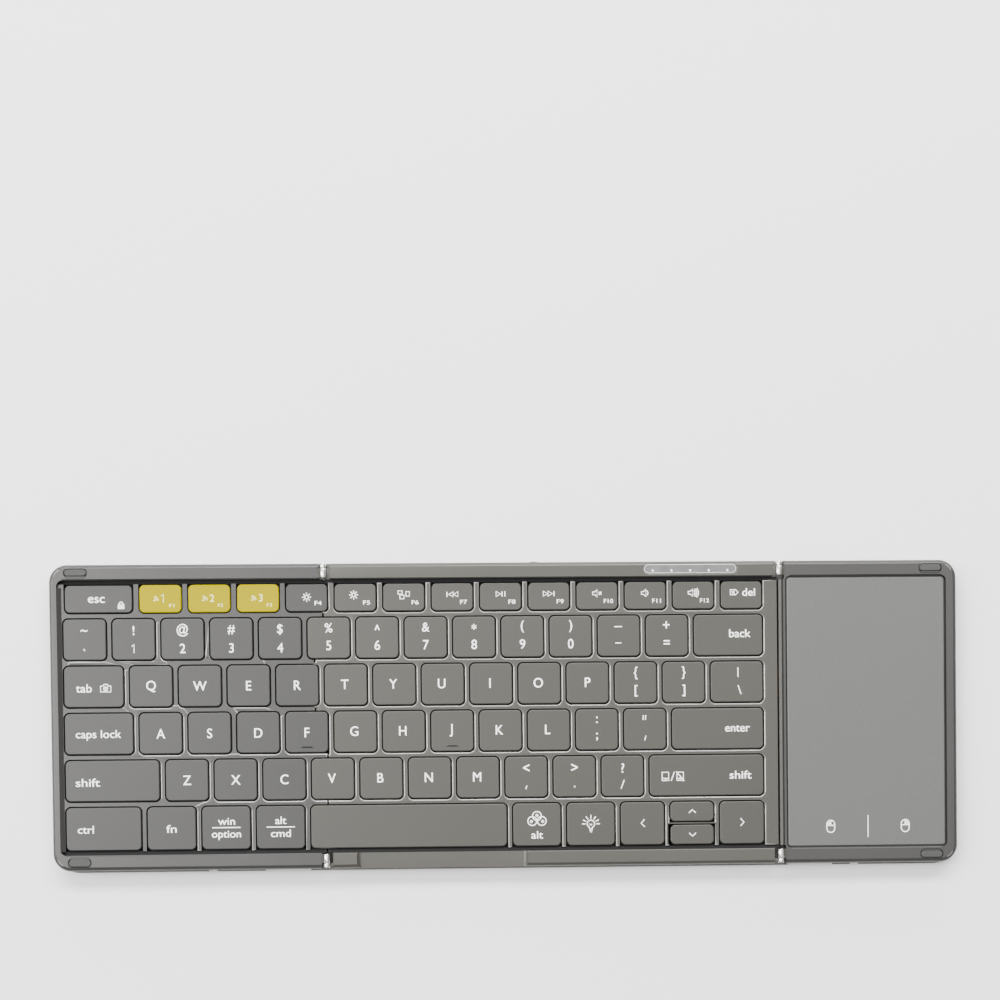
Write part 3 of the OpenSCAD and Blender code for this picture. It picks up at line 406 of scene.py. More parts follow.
def bump(tree, shader, height, distance):
    """Feeds a height to the shader's normal."""
    node = add_node(tree, "ShaderNodeBump", sockets={"Height": height, "Distance": distance, "Strength": 1.0})
    tree.links.new(node.outputs["Normal"], shader.inputs["Normal"])


def mottle(tree, shader, factor, first, second):
    """Colours the shader between two tones, by a factor."""
    colour = blend_colours(tree, factor, opaque(first), opaque(second))
    tree.links.new(colour, shader.inputs["Base Color"])


def opaque(colour):
    """A colour with full alpha."""
    return (*colour, 1.0)


def scaled(colour, factor):
    """A colour made lighter or darker."""
    return tuple(min(1.0, channel * factor) for channel in colour)


def painted(name, colour, roughness, metallic=0.0, flakes=2500.0, amount=0.5, cloud=0.2, spread=0.35,
            relief=0.0015, coat=0.0, specular=0.5):
    """A moulded or painted surface with flakes a little lighter and darker than its colour."""
    material, tree, shader = new_material(name, roughness, metallic, coat, specular)
    node = add_node(tree, "ShaderNodeGroup", node_tree=grain, sockets={
        "Colour": opaque(scaled(colour, 1 - spread)), "Flake Colour": opaque(scaled(colour, 1 + spread)),
        "Flakes per Metre": flakes, "Amount": amount, "Cloud": cloud})
    tree.links.new(node.outputs["Colour"], shader.inputs["Base Color"])
    bump(tree, shader, node.outputs["Height"], relief * MM)
    return material


def painted_board(name, colour, left, right):
    """Board paint with painted shade: a little below the deck, inside the rails, it turns black, bare of
    metal and rough, for the shade in the gaps between caps and wells.
    """
    material = painted(name, colour, 0.36, metallic=0.45, flakes=6500.0, amount=0.5, cloud=0.3)
    tree = material.node_tree
    shader = tree.nodes["Principled BSDF"]
    mask = add_node(tree, "ShaderNodeGroup", node_tree=recess_shade, sockets={
        "Level": deck_top - SHADE_DEPTH, "Half Depth": rail_inside + 0.05 * MM,
        "Left": left, "Right": right}).outputs["Mask"]
    colour_now = shader.inputs["Base Color"].links[0].from_socket
    tree.links.new(blend_colours(tree, mask, colour_now, GAP_SHADE_BLACK), shader.inputs["Base Color"])
    metal = shader.inputs["Metallic"].default_value
    unshaded = calculate(tree, "SUBTRACT", 1.0, mask)
    tree.links.new(calculate(tree, "MULTIPLY", unshaded, metal), shader.inputs["Metallic"])
    rough = shader.inputs["Roughness"].default_value
    dull = add_node(tree, "ShaderNodeMapRange", sockets={"Value": mask, "To Min": rough, "To Max": 0.9})
    tree.links.new(dull.outputs[0], shader.inputs["Roughness"])
    return material


# Painted shade of the gaps: how far below the deck it starts, and its black.
SHADE_DEPTH = 0.3 * MM
GAP_SHADE_BLACK = (0.004, 0.004, 0.004, 1)
SHELL = (0.046, 0.045, 0.043)
CAP = (0.035, 0.0342, 0.0325)
WARMER = (1.36, 1.33, 1.19)
WARM_SHELL, WARM_CAP = ([a * b for a, b in zip(colour, WARMER)] for colour in (SHELL, CAP))

shell_paint = painted_board("shell_paint", SHELL, left_end + 2.9 * MM, right_end - 4 * MM)
warm_shell_paint = painted_board("warm_shell_paint", WARM_SHELL, left_end, right_end)
# Brighter paint for the sloped edges: partly cut metal, partly a painted highlight of the light they catch.
cut_edge_and_highlight = painted("cut_edge_and_highlight", (0.2, 0.197, 0.185), 0.3, metallic=0.6, flakes=6500.0, amount=0.3, spread=0.15)
cap_paint, warm_cap_paint = (
    painted(name, colour, 0.42, metallic=0.3, flakes=7000.0, amount=0.4, cloud=0.25, spread=0.25)
    for name, colour in (("cap_paint", CAP), ("warm_cap_paint", WARM_CAP)))
yellow_paint = painted("yellow_paint", (0.32, 0.265, 0.0), 0.8, flakes=3200.0, amount=0.3, cloud=0.1,
                       spread=0.12, specular=0.0)
back_paint = painted("back_paint", (0.085, 0.083, 0.076), 0.36, metallic=0.55, flakes=5000.0, amount=0.9,
                     cloud=0.4)
rim_plastic = painted("rim_plastic", (0.12, 0.118, 0.11), 0.5, flakes=3000.0, amount=0.3, spread=0.15)
bumper_rubber = painted("bumper_rubber", (0.036, 0.036, 0.035), 0.7, flakes=3500.0, amount=0.5, spread=0.3)
pad_sheet = painted("pad_sheet", (0.098, 0.099, 0.095), 0.33, metallic=0.35, flakes=3600.0, amount=0.5,
                    cloud=0.15, spread=0.2, relief=0.002)
glowing_white_ink = painted("glowing_white_ink", (0.92, 0.92, 0.89), 0.5, flakes=4000.0, amount=0.2, spread=0.08,
                    relief=0.001)
# The white print also glows a little: painted light that makes it brighter than the lamps do.
ink_shader = glowing_white_ink.node_tree.nodes["Principled BSDF"]
ink_shader.inputs["Emission Color"].default_value = (1, 1, 0.97, 1)
ink_shader.inputs["Emission Strength"].default_value = 0.6
pale_ink = painted("pale_ink", (0.95, 0.88, 0.35), 0.5, flakes=4000.0, amount=0.2, spread=0.08,
                   relief=0.001)
board_green = painted("board_green", (0.05, 0.2, 0.09), 0.35, flakes=900.0, amount=0.6, spread=0.4, coat=0.3)
sheet_steel = painted("sheet_steel", (0.5, 0.5, 0.51), 0.35, metallic=1.0, flakes=1500.0, amount=0.5,
                      spread=0.15)
pouch_foil = painted("pouch_foil", (0.6, 0.61, 0.63), 0.3, metallic=0.9, flakes=400.0, amount=0.4,
                     spread=0.12)
switch_film = painted("switch_film", (0.012, 0.012, 0.012), 0.6, flakes=700.0, amount=0.3, spread=0.3,
                      specular=0.2)
support_plastic = painted("support_plastic", (0.8, 0.8, 0.78), 0.45, flakes=1500.0, amount=0.2, spread=0.06)
amber_film = painted("amber_film", (0.45, 0.18, 0.04), 0.3, flakes=500.0, amount=0.3, spread=0.2, coat=0.5)
# Black for lines of painted shade round the feet and on the homing bars.
painted_shade_black = painted("painted_shade_black", (0.012, 0.012, 0.012), 0.7, amount=0.3, spread=0.3, specular=0.2)
rim_highlight_paint = painted("rim_highlight_paint", (0.62, 0.62, 0.6), 0.3, flakes=4000.0, amount=0.3, spread=0.1, coat=0.5)
black_plastic = painted("black_plastic", (0.03, 0.03, 0.03), 0.45, flakes=2500.0, amount=0.5, spread=0.4)


def make_hinge_steel():
    """Turned steel: fine rings round the barrel, which lies along Y."""
    material, tree, shader = new_material("hinge_steel", 0.22, metallic=1.0)
    place = object_place(tree)
    stretch = add_node(tree, "ShaderNodeMapping", sockets={"Vector": place, "Scale": (200.0, 9000.0, 200.0)})
    rings = noise(tree, stretch.outputs[0], 1.0)
    mottle(tree, shader, rings, (0.62, 0.6, 0.57), (0.95, 0.93, 0.9))
    bump(tree, shader, rings, 0.004 * MM)
    return material


def make_leather():
    """Grey grained leather."""
    material, tree, shader = new_material("grained_leather", 0.55, specular=0.4)
    # The darker crease colour is painted shade in the creases.
    node = add_node(tree, "ShaderNodeGroup", node_tree=pebbles, sockets={
        "Colour": (0.17, 0.163, 0.15, 1), "Crease Shade": (0.07, 0.066, 0.06, 1),
        "Pebbles per Metre": 850.0})
    clouds = noise(tree, object_place(tree), 35.0, detail=3.0)
    tone = add_node(tree, "ShaderNodeMapRange", sockets={"Value": clouds, "To Min": 0.88, "To Max": 1.12})
    shade = add_node(tree, "ShaderNodeVectorMath", operation="SCALE", sockets={
        0: node.outputs["Colour"], "Scale": tone.outputs[0]}).outputs[0]
    tree.links.new(shade, shader.inputs["Base Color"])
    bump(tree, shader, node.outputs["Height"], 0.12 * MM)
    return material


def make_window():
    """Milky plastic: a hazy grey under a clear coat."""
    material, tree, shader = new_material("milky_window", 0.22, coat=0.5)
    place = object_place(tree)
    haze = noise(tree, place, 260.0, detail=3.0)
    mottle(tree, shader, haze, (0.06, 0.061, 0.06), (0.16, 0.163, 0.158))
    bump(tree, shader, haze, 0.01 * MM)
    return material


def make_glow():
    """The white of the indicator dots behind the window, with a faint painted glow for their glints."""
    material, tree, shader = new_material("indicator_glint_glow", 0.3)
    place = object_place(tree)
    haze = noise(tree, place, 1500.0)
    mottle(tree, shader, haze, (0.85, 0.85, 0.8), (1, 1, 1))
    shader.inputs["Emission Color"].default_value = (1, 1, 0.97, 1)
    shader.inputs["Emission Strength"].default_value = 0.25
    return material


hinge_steel = make_hinge_steel()
dark_steel = painted("dark_steel", (0.10, 0.097, 0.09), 0.4, metallic=0.8, flakes=5000.0, amount=0.3)
leather = make_leather()
milky_window = make_window()
indicator_glint_glow = make_glow()

NODE_FINISH = {
    "middle_base": back_paint, "left_base": back_paint, "right_base": back_paint,
    "middle_board": rim_plastic, "left_cover_board": rim_plastic, "right_cover_board": rim_plastic,
    "middle_support_plate": sheet_steel, "left_support_plate": sheet_steel, "charging_port": sheet_steel,
    "middle_screws": sheet_steel, "hinge_pins": hinge_steel,
    "middle_membrane": switch_film, "left_membrane": switch_film,
    "middle_key_supports": support_plastic, "left_key_supports": support_plastic,
    "main_circuit_board": board_green, "touchpad_board": board_green, "battery": pouch_foil,
    "power_switch": black_plastic,
}
for name, material in NODE_FINISH.items():
    paint(nodes[name], material)


# ---- Boards with softened edges ----

# Each step's width and drop in millimetres.
SLOPE = ((0.05, 0.2), (0.3, 0.13), (0.06, 0.01))
BRIGHT_BAND = 0.09 * MM
BUMPER_MARGIN = 0.4 * MM
WINDOW_MARGIN = 0.6 * MM
HINGE_MARGIN = 6 * MM
BAR_MARGIN = 0.9 * MM
EDGE_BAND = SHOULDER + 0.2 * MM
up_low, up_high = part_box("up_arrow_key")
bumper_spans = [(low.x - BUMPER_MARGIN, high.x + BUMPER_MARGIN)
                for low, high in (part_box("left_bumpers"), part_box("right_bumpers"))]
window_low, window_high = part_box("indicator_window")
fold_lines = (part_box("middle_hinge_knuckles")[0].x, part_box("middle_hinge_knuckles")[1].x)


def share_of_slope(place):
    """None round the bumpers, little round the window, the hinges and the half keys' bar, and 1 elsewhere."""
    if abs(place.y) > rail_inside + 0.5 * MM and any(low < place.x < high for low, high in bumper_spans):
        return 0.0
    if (place.y > window_low.y - WINDOW_MARGIN
            and window_low.x - WINDOW_MARGIN < place.x < window_high.x + WINDOW_MARGIN):
        return 0.3
    if abs(place.y) > rail_inside - 2 * MM and min(abs(place.x - x) for x in fold_lines) < HINGE_MARGIN:
        return 0.2
    if abs(place.y - up_low.y) < BAR_MARGIN and up_low.x - 0.3 * MM < place.x < up_high.x + 0.3 * MM:
        return 0.25
    return 1.0


def board_piece(node, name, material):
    """A frame whose deck, teeth and rails have small sloped edges, painted brighter: partly cut metal, partly
    a painted highlight.
    """
    piece = cad_copy(node, name)
    for level in (deck_top, rail_top):
        ease_top(piece, level, SLOPE, share_of_slope)
    smooth(piece)
    finish_piece(piece, node, material)
    # The sloped edges take the brighter paint, in part a painted highlight.
    piece.data.materials.append(cut_edge_and_highlight)
    for face in piece.data.polygons:
        x, y, z = face.center
        under = min(abs(z - level + 0.1 * MM) for level in (deck_top, rail_top))
        inward = abs(y) < half_depth - EDGE_BAND and left_end + EDGE_BAND < x < right_end - EDGE_BAND
        if under < BRIGHT_BAND and 0.6 < face.normal.z < 0.99 and inward:
            face.material_index = 1


board_piece("middle_frame", "middle_board_shell", warm_shell_paint)
board_piece("left_frame", "left_wing_shell", shell_paint)
board_piece("right_frame", "right_wing_shell", shell_paint)


# ---- Key caps ----

KEY_NODES = [name for name in nodes if name.endswith(("_key", "_keys", "space_bar"))]
FOLD_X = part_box("middle_frame")[0].x - 0.5 * MM


def is_yellow(node):
    """True for the node of the yellow keys."""
    return node.startswith("yellow")


for node in KEY_NODES:
    caps = cad_copy(node, node + "_caps")
    soften(caps, 0.12 * MM, 2, lambda edge: middle_of(edge).z > cap_top - 0.5 * MM)
    smooth(caps)
    grey_paint = warm_cap_paint if sum(corner.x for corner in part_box(node)) / 2 > FOLD_X else cap_paint
    finish_piece(caps, node, yellow_paint if is_yellow(node) else grey_paint)


# ---- Small parts ----

def soft_copy(node, name, width, steps, material, rule):
    """A CAD node with the edges that the rule picks rounded off."""
    piece = cad_copy(node, name)
    soften(piece, width, steps, rule)
    smooth(piece)
    return finish_piece(piece, node, material)


def is_upper(edge):
    """True for the edges round the top of a part that lies in a rail."""
    return middle_of(edge).z > rail_top - 0.6 * MM and between_top_and_wall(edge)


def is_rim(edge):
    """True for the edges at both ends of a barrel that lies along Y."""
    along = [abs(face.normal.y) for face in edge.link_faces]
    return max(along) > 0.95 and min(along) < 0.2 and middle_of(edge).z > rail_top - 1.2 * MM


BARREL_REACH = 1.16 * MM
LEAF_REACH = 2.6 * MM
BARREL_LINES = [(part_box("hinge_pins")[0].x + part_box("left_hinge_knuckles")[1].x) / 2,
                (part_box("hinge_pins")[1].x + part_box("right_hinge_knuckles")[0].x) / 2]
soft_copy("left_bumpers", "left_rubber_feet", 0.3 * MM, 3, bumper_rubber, is_upper)
soft_copy("right_bumpers", "right_rubber_feet", 0.3 * MM, 3, bumper_rubber, is_upper)
soft_copy("indicator_window", "light_window", 0.35 * MM, 2, milky_window, is_upper)
soft_copy("touchpad", "touch_surface", 0.1 * MM, 2, pad_sheet,
          lambda edge: middle_of(edge).z > rail_top - 0.75 * MM)
for node in ("middle_hinge_knuckles", "left_hinge_knuckles", "right_hinge_knuckles"):
    knuckles = soft_copy(node, node + "_turned", 0.12 * MM, 2, hinge_steel, is_rim)
    knuckles.data.materials.append(dark_steel)
    knuckles.data.materials.append(warm_shell_paint)
    for face in knuckles.data.polygons:
        away = min(abs(face.center.x - x) for x in BARREL_LINES)
        face.material_index = 2 if away > LEAF_REACH else 1 if away > BARREL_REACH else 0
    for vert in knuckles.data.vertices:
        over = abs(vert.co.y) - half_depth + SHOULDER
        if min(abs(vert.co.x - x) for x in BARREL_LINES) > 1.2 * MM and over > 0:
            arch = rail_top - SHOULDER + math.sqrt(SHOULDER ** 2 - over ** 2)
            vert.co.z = min(vert.co.z, arch - 0.03 * MM)


# ---- Printed legends ----

PRINT_RISE = 0.015 * MM
LAYER_RISE = 0.002 * MM
LINE = 0.36 * MM
CAPITAL = 0.73
NARROWER = 0.92


def cap_places(node):
    """The middles of a node's caps from left to right, as points on their tops."""
    mesh = nodes[node].data
    across = [[mesh.vertices[i].co.x for i in face.vertices] for face in mesh.polygons]
    spans = sorted((min(row), max(row)) for row in across)
    joined = [list(spans[0])]
    for start, end in spans[1:]:
        if start > joined[-1][1] + 0.05 * MM:
            joined.append([start, end])
        else:
            joined[-1][1] = max(joined[-1][1], end)
    low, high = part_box(node)
    return [Vector(((start + end) / 2, (low.y + high.y) / 2, cap_top)) for start, end in joined]


def text_mesh(text):
    """A word in the plain built-in letters, as a thin mesh whose capitals are 1 high."""
    bpy.ops.object.select_all(action="DESELECT")
    bpy.ops.object.text_add(location=(0, 0, 0))
    piece = bpy.context.object
    piece.data.body = text
    piece.data.size = 1.0 / CAPITAL
    piece.data.extrude = 1.0
    piece.data.resolution_u = 5
    bpy.ops.object.convert(target="MESH")
    return piece


def printed(text, at, x, y, size, width=None, on_line=False):
    """A printed word at x, y from the point, in millimetres: its middle, or with on_line its foot."""
    piece = text_mesh(text)
    corners = [Vector(corner) for corner in piece.bound_box]
    low = Vector(min(corner[i] for corner in corners) for i in range(3))
    high = Vector(max(corner[i] for corner in corners) for i in range(3))
    across = width / (high.x - low.x) if width else size * NARROWER
    middle_y = 0.0 if on_line else (low.y + high.y) / 2
    piece.scale = (across * MM, size * MM, PRINT_RISE)
    middle_x = (low.x + high.x) / 2
    piece.location = (at.x + x * MM - middle_x * across * MM, at.y + y * MM - middle_y * size * MM, at.z)
    settle(piece)
    weight = min(0.035, 0.011 * size) * MM
    layers = [piece]
    shifts = ((-weight, -weight / 2, 0.0), (weight, weight / 2, LAYER_RISE),
              (weight, -weight / 2, 2 * LAYER_RISE))
    for right, up, rise in shifts:
        layer = piece.copy()
        layer.data = piece.data.copy()
        bpy.context.scene.collection.objects.link(layer)
        layer.location = (right, up, rise)
        layers.append(settle(layer))
    return join(layers, "word")


def arc(x, y, radius, start=0, end=360, steps=20):
    """Points of an arc in millimetres, with angles in degrees from the right."""
    turns = [math.radians(start + (end - start) * i / steps) for i in range(steps + 1)]
    return [(x + radius * math.cos(turn), y + radius * math.sin(turn)) for turn in turns]


def frame_line(x0, x1, y0, y1):
    """Points of a closed rectangle."""
    return [(x0, y0), (x1, y0), (x1, y1), (x0, y1), (x0, y0)]


def drawn(lines, at, x, y, scale=1.0, line=LINE):
    """Lines of points in millimetres, drawn as flat strokes at x, y from the point."""
    bpy.ops.object.select_all(action="DESELECT")
    bpy.ops.curve.primitive_nurbs_path_add(location=(0, 0, 0))
    piece = bpy.context.object
    curve = piece.data
    curve.splines.clear()
    for points in lines:
        spline = curve.splines.new("POLY")
        closed = points[0] == points[-1] and len(points) > 2
        shown = points[:-1] if closed else points
        spline.points.add(len(shown) - 1)
        for place, (u, v) in zip(spline.points, shown):
            place.co = (u * scale * MM, v * scale * MM, 0, 1)
        spline.use_cyclic_u = closed
    curve.bevel_depth = line / 2
    curve.bevel_resolution = 1
    curve.use_fill_caps = True
    bpy.ops.object.convert(target="MESH")
    piece.scale.z = 2 * PRINT_RISE / line
    piece.location = (at.x + x * MM, at.y + y * MM, at.z)
    return settle(piece)


def rays(y, near, far, angles):
    """Short lines away from a point above the middle, at angles in degrees."""
    turns = [math.radians(angle) for angle in angles]
    return [[(reach * math.cos(turn), y + reach * math.sin(turn)) for reach in (near, far)] for turn in turns]


SUN = [arc(0, 0, 0.62)] + rays(0, 0.98, 1.5, range(0, 360, 45))
WINDOWS = [frame_line(-1.9, -0.5, 0.2, 1.3), frame_line(-1.3, 0.1, -1.4, -0.2),
           frame_line(0.75, 1.9, -0.55, 1.0)]
TRIANGLE = [(-0.75, -0.85), (-0.75, 0.85), (0.75, 0), (-0.75, -0.85)]


def moved(points, dx, flip=1):
    """Points shifted sideways, or with flip -1 mirrored first."""
    return [(flip * u + dx, v) for u, v in points]


FORWARD = [moved(TRIANGLE, -1.15), moved(TRIANGLE, 0.45), [(1.75, -0.85), (1.75, 0.85)]]
REWIND = [moved(TRIANGLE, 1.15, flip=-1), moved(TRIANGLE, -0.45, flip=-1), [(-1.75, -0.85), (-1.75, 0.85)]]
PLAY = [moved(TRIANGLE, -0.75), [(0.5, -0.85), (0.5, 0.85)], [(1.45, -0.85), (1.45, 0.85)]]
HORN = [(-1.5, -0.45), (-1.5, 0.45), (-0.8, 0.45), (0, 1.25), (0, -1.25), (-0.8, -0.45), (-1.5, -0.45)]
MUTE = [HORN, [(0.55, -0.5), (1.5, 0.5)], [(0.55, 0.5), (1.5, -0.5)]]
QUIETER = [moved(HORN, 0.2), arc(-0.1, 0, 1.0, -50, 50, 8)]
LOUDER = [moved(HORN, -0.2), arc(-0.4, 0, 0.95, -55, 55, 8), arc(-0.4, 0, 1.55, -55, 55, 8),
          arc(-0.4, 0, 2.15, -45, 45, 8)]
ERASE = [[(-1.3, -0.85), (-1.3, 0.85), (0.5, 0.85), (1.35, 0), (0.5, -0.85), (-1.3, -0.85)],
         [(-0.75, -0.4), (0.1, 0.4)], [(-0.75, 0.4), (0.1, -0.4)]]
LOCK = [frame_line(-0.95, 0.95, -1.1, 0.15), frame_line(-0.6, 0.6, -0.8, -0.2), [(-0.3, -0.5), (0.3, -0.5)],
        [(-0.6, 0.15)] + arc(0, 0.45, 0.6, 180, 0, 8) + [(0.6, 0.15)]]
CAMERA = [[(-1.7, -1.2), (1.7, -1.2), (1.7, 0.75), (0.9, 0.75), (0.5, 1.3), (-0.5, 1.3), (-0.9, 0.75),
           (-1.7, 0.75), (-1.7, -1.2)], arc(0, -0.2, 0.65), arc(0, -0.2, 0.12, steps=8)]
WAVES = [arc(-0.75, -0.75, 0.12, steps=8), arc(-0.75, -0.75, 0.75, 0, 90, 8),
         arc(-0.75, -0.75, 1.4, 0, 90, 10)]
THREE_RINGS = [arc(0, 1.1, 1.5), arc(-1.6, -0.6, 1.5), arc(1.6, -0.6, 1.5),
               arc(0, 1.3, 0.35, steps=8), arc(-1.9, -0.75, 0.35, steps=8), arc(1.9, -0.75, 0.35, steps=8)]
BULB = [[(-0.45, -1.35), (-0.5, -0.8)] + arc(0, 0.35, 1.25, 235, -55, 18) + [(0.5, -0.8), (0.45, -1.35)],
        [(-0.5, -1.35), (0.5, -1.35)], [(-0.5, -1.85), (0.5, -1.85)], [(-0.3, -2.35), (0.3, -2.35)],
        [(-0.4, 0.35), (0, -0.1), (0.4, 0.35)]] + rays(0.35, 1.8, 3.0, (0, 27, 57, 90, 123, 153, 180))
UP = [[(-1.15, -0.5), (0, 0.6), (1.15, -0.5)]]
DOWN = [[(-1.15, 0.5), (0, -0.6), (1.15, 0.5)]]
BACK = [[(0.6, 1.25), (-0.6, 0), (0.6, -1.25)]]
ON = [[(-0.6, 1.25), (0.6, 0), (-0.6, -1.25)]]
PAD_ON = [frame_line(-1.1, 1.1, -1.4, 1.4), [(-1.1, -0.7), (1.1, -0.7)], [(0, -0.7), (0, -1.4)]]
PAD_OFF = PAD_ON + [[(-1.3, 1.7), (1.3, -1.6)]]
SLASH = [[(-0.55, -1.5), (0.55, 1.5)]]
RULE = [[(-4.7, 0), (4.7, 0)]]
MOUSE = [[(-1.35, 0.7)] + arc(0, 0.7, 1.35, 180, 0, 12) + arc(0, -0.7, 1.35, 0, -180, 12) + [(-1.35, 0.7)],
         [(-1.35, 0.3), (1.35, 0.3)], [(0, 0.3), (0, 2.0)]]
LEFT_BUTTON = [arc(0, 0.5, 0.95, 172, 108, 6), arc(0, 0.5, 0.6, 165, 115, 5)]
RIGHT_BUTTON = [moved(points, 0, flip=-1) for points in LEFT_BUTTON]
ONE = [[(-0.55, 0.75), (0.1, 1.35), (0.1, -1.4)]]


def digit(symbol, number, high=3.4, low=-2.5):
    """The two marks of a number key."""
    return [(symbol, 0, high, 3.2), (ONE, 0, low) if number == "1" else (number, 0, low, 3.3)]


def letter(mark, x, y=0.2):
    """The one mark of a letter key."""
    return [(mark, x, y, 3.35)]


def function(lines, mark, x=0.0, y=0.85, width=2.3):
    """An icon with the small name of a function key beside it."""
    return [(lines, x, y), (mark, 3.8, -1.75, 1.45, width)]


def channel(number):
    """A wireless channel's mark on a yellow key."""
    figure = (ONE, 0.95, 0.1) if number == "1" else (number, 0.95, 0.1, 2.6)
    return [(WAVES, -1.3, 0.1), figure, ("F" + number, 3.8, -2.3, 1.15, 1.7)]


# Each cap's marks: lines with their place, or a word with its place, height and width, and True where the
# place is its foot.
LEGENDS = {
    "escape_key": [[("esc", -0.7, -1.2, 3.1, 5.5, True), (LOCK, 7.5, -2.1)]],
    "yellow_function_keys": [channel("1"), channel("2"), channel("3")],
    "brightness_key": [function(SUN, "F4", y=0.2)],
    "left_number_keys": [[("~", -0.2, 3.0, 3.3), ("`", -0.2, -3.4, 3.3)]] + [
        digit(a, b, 3.0, -3.1) for a, b in ("!1", "@2", "#3", "$4")],
    "tab_and_letter_keys": [[("tab", -3.3, -1.8, 2.9, 5.2, True), (CAMERA, 3.95, -0.5)]] + [
        letter(mark, 0, 0) for mark in "QWER"],
    "caps_and_letter_keys": [[("caps lock", -0.2, -1.3, 2.75, 15.0, True)]] + [
        letter(mark, 0, -0.1) for mark in "ASDF"],
    "left_shift_key": [[("shift", -8.2, -1.8, 2.8, 8.0, True)]],
    "left_lower_letter_keys": [letter(mark, 0, 0) for mark in "ZXC"],
    "left_command_keys": [
        [("ctrl", -6.0, -1.4, 2.7, 5.3, True)], [("fn", -0.1, -1.4, 2.7, 3.4, True)],
        [("win", 0.1, 1.05, 2.6, 5.6, True), (RULE, 0, 0.1), ("option", 0, -3.2, 2.6, 9.7, True)],
        [("alt", 0, 1.15, 2.6, 3.7, True), (RULE, 0, 0.1), ("cmd", 0, -3.2, 2.6, 6.6, True)]],
    "middle_function_keys": [
        function(SUN, "F5", -0.5), function(WINDOWS, "F6"), function(REWIND, "F7"), function(PLAY, "F8"),
        function(FORWARD, "F9"), function(MUTE, "F10", width=3.1), function(QUIETER, "F11", width=2.9),
        function(LOUDER, "F12", width=3.0), [(ERASE, -2.4, 0.9), ("del", 2.5, -0.3, 2.7, 4.3, True)]],
    "middle_number_keys": [digit(a, b) for a, b in ("%5", "^6", "&7", "*8", "(9", ")0")] + [
        [([[(-1.3, 0), (1.3, 0)]], -0.2, 3.1), ([[(-1.0, 0), (1.0, 0)]], -0.2, -2.4)],
        [("+", -0.2, 3.6, 3.6), ("=", -0.1, -2.3, 3.4)]],
    "backspace_key": [[("back", 3.9, -0.7, 2.8, 7.2, True)]],
    "upper_letter_keys": [letter(mark, -0.4) for mark in "TYUIO"] + [letter("P", 0)] + [
        [("{", 0, 3.2, 3.3), ("[", 0.1, -2.8, 3.1)], [("}", 0, 3.2, 3.3), ("]", 0, -2.8, 3.1)],
        [([[(0, -1.6), (0, 1.6)]], 0.4, 3.2), ([[(-0.5, 1.5), (0.5, -1.5)]], 0.9, -2.7)]],
    "home_letter_keys": [letter(mark, -0.4) for mark in "GHJKL"] + [
        [(":", 0, 3.3, 3.4), (";", 0, -2.4, 3.4)],
        [([[(-0.35, -0.8), (-0.2, 0.8)], [(0.45, -0.8), (0.6, 0.8)]], -0.3, 3.9),
         ([[(-0.25, -0.75), (0.2, 0.75)]], 0.1, -3.0)]],
    "enter_key": [[("enter", 6.7, -1.05, 2.85, 8.3, True)]],
    "lower_letter_keys": [letter(mark, -0.35) for mark in "VBNM"] + [
        [("<", 0, 3.1, 3.6), ([[(-0.2, -0.6), (0.15, 0.6)]], 0, -3.5)],
        [(">", 0, 3.1, 3.6), (arc(0, 0, 0.12, steps=8), 0, -3.4)], [("?", 0.1, 2.7, 3.3), (SLASH, 0, -2.8)]],
    "right_shift_key": [[(PAD_ON, -14.0, -0.3), (SLASH, -11.5, -0.3), (PAD_OFF, -9.0, -0.3),
                         ("shift", 11.5, -1.25, 2.8, 7.4, True)]],
    "space_bar": [[]],
    "right_command_keys": [[(THREE_RINGS, 0, 1.8), ("alt", 0, -4.7, 2.7, 3.85, True)], [(BULB, 0, -0.3)]],
    "left_arrow_key": [[(BACK, 0.1, 0.1)]],
    "up_arrow_key": [[(UP, 0.1, 0)]],
    "down_arrow_key": [[(DOWN, 0.1, 0)]],
    "right_arrow_key": [[(ON, 0.1, 0.1)]],
}

for node, caps in LEGENDS.items():
    marks = []
    for at, cap_marks in zip(cap_places(node), caps):
        for mark in cap_marks:
            if isinstance(mark[0], str):
                marks.append(printed(mark[0], at, *mark[1:]))
            else:
                lines = mark[0] if isinstance(mark[0][0], list) else [mark[0]]
                marks.append(drawn(lines, at, mark[1], mark[2]))
    if marks:
        legend = join(marks, node + "_legends")
        finish_piece(legend, node, pale_ink if is_yellow(node) else glowing_white_ink)


# ---- Marks on the touchpad, painted glints in the window ----

PAD_MARKS_Y = -38.8
LIGHT_PITCH = 6.3
pad_low, pad_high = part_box("touchpad")
pad_at = Vector(((pad_low.x + pad_high.x) / 2, 0, pad_high.z))
pad_marks = join([
    drawn(MOUSE + LEFT_BUTTON, pad_at, -12.3, PAD_MARKS_Y),
    drawn(MOUSE + RIGHT_BUTTON, pad_at, 13.1, PAD_MARKS_Y),
    drawn([[(0, -3.7), (0, 3.7)]], pad_at, 0.4, PAD_MARKS_Y, line=0.3 * MM)], "touchpad_marks")
finish_piece(pad_marks, "touchpad", glowing_white_ink)

window_at = Vector(((window_low.x + window_high.x) / 2, (window_low.y + window_high.y) / 2, window_high.z))
# Five white dots in the window, with a painted glow for their glints.
window_glints = join([drawn([arc(0, 0, 0.2, steps=10)], window_at, i * LIGHT_PITCH, -0.6, line=0.4 * MM)
               for i in range(-2, 3)], "indicator_glints")
finish_piece(window_glints, "indicator_window", indicator_glint_glow)


def stadium(low, high, inset):
    """Points of the outline inside a long rounded plate, round its middle."""
    radius = (high.y - low.y) / 2 / MM - inset
    reach = (high.x - low.x) / 2 / MM - inset - radius
    return arc(reach, 0, radius, -90, 90, 10) + arc(-reach, 0, radius, 90, 270, 10) + [(reach, -radius)]


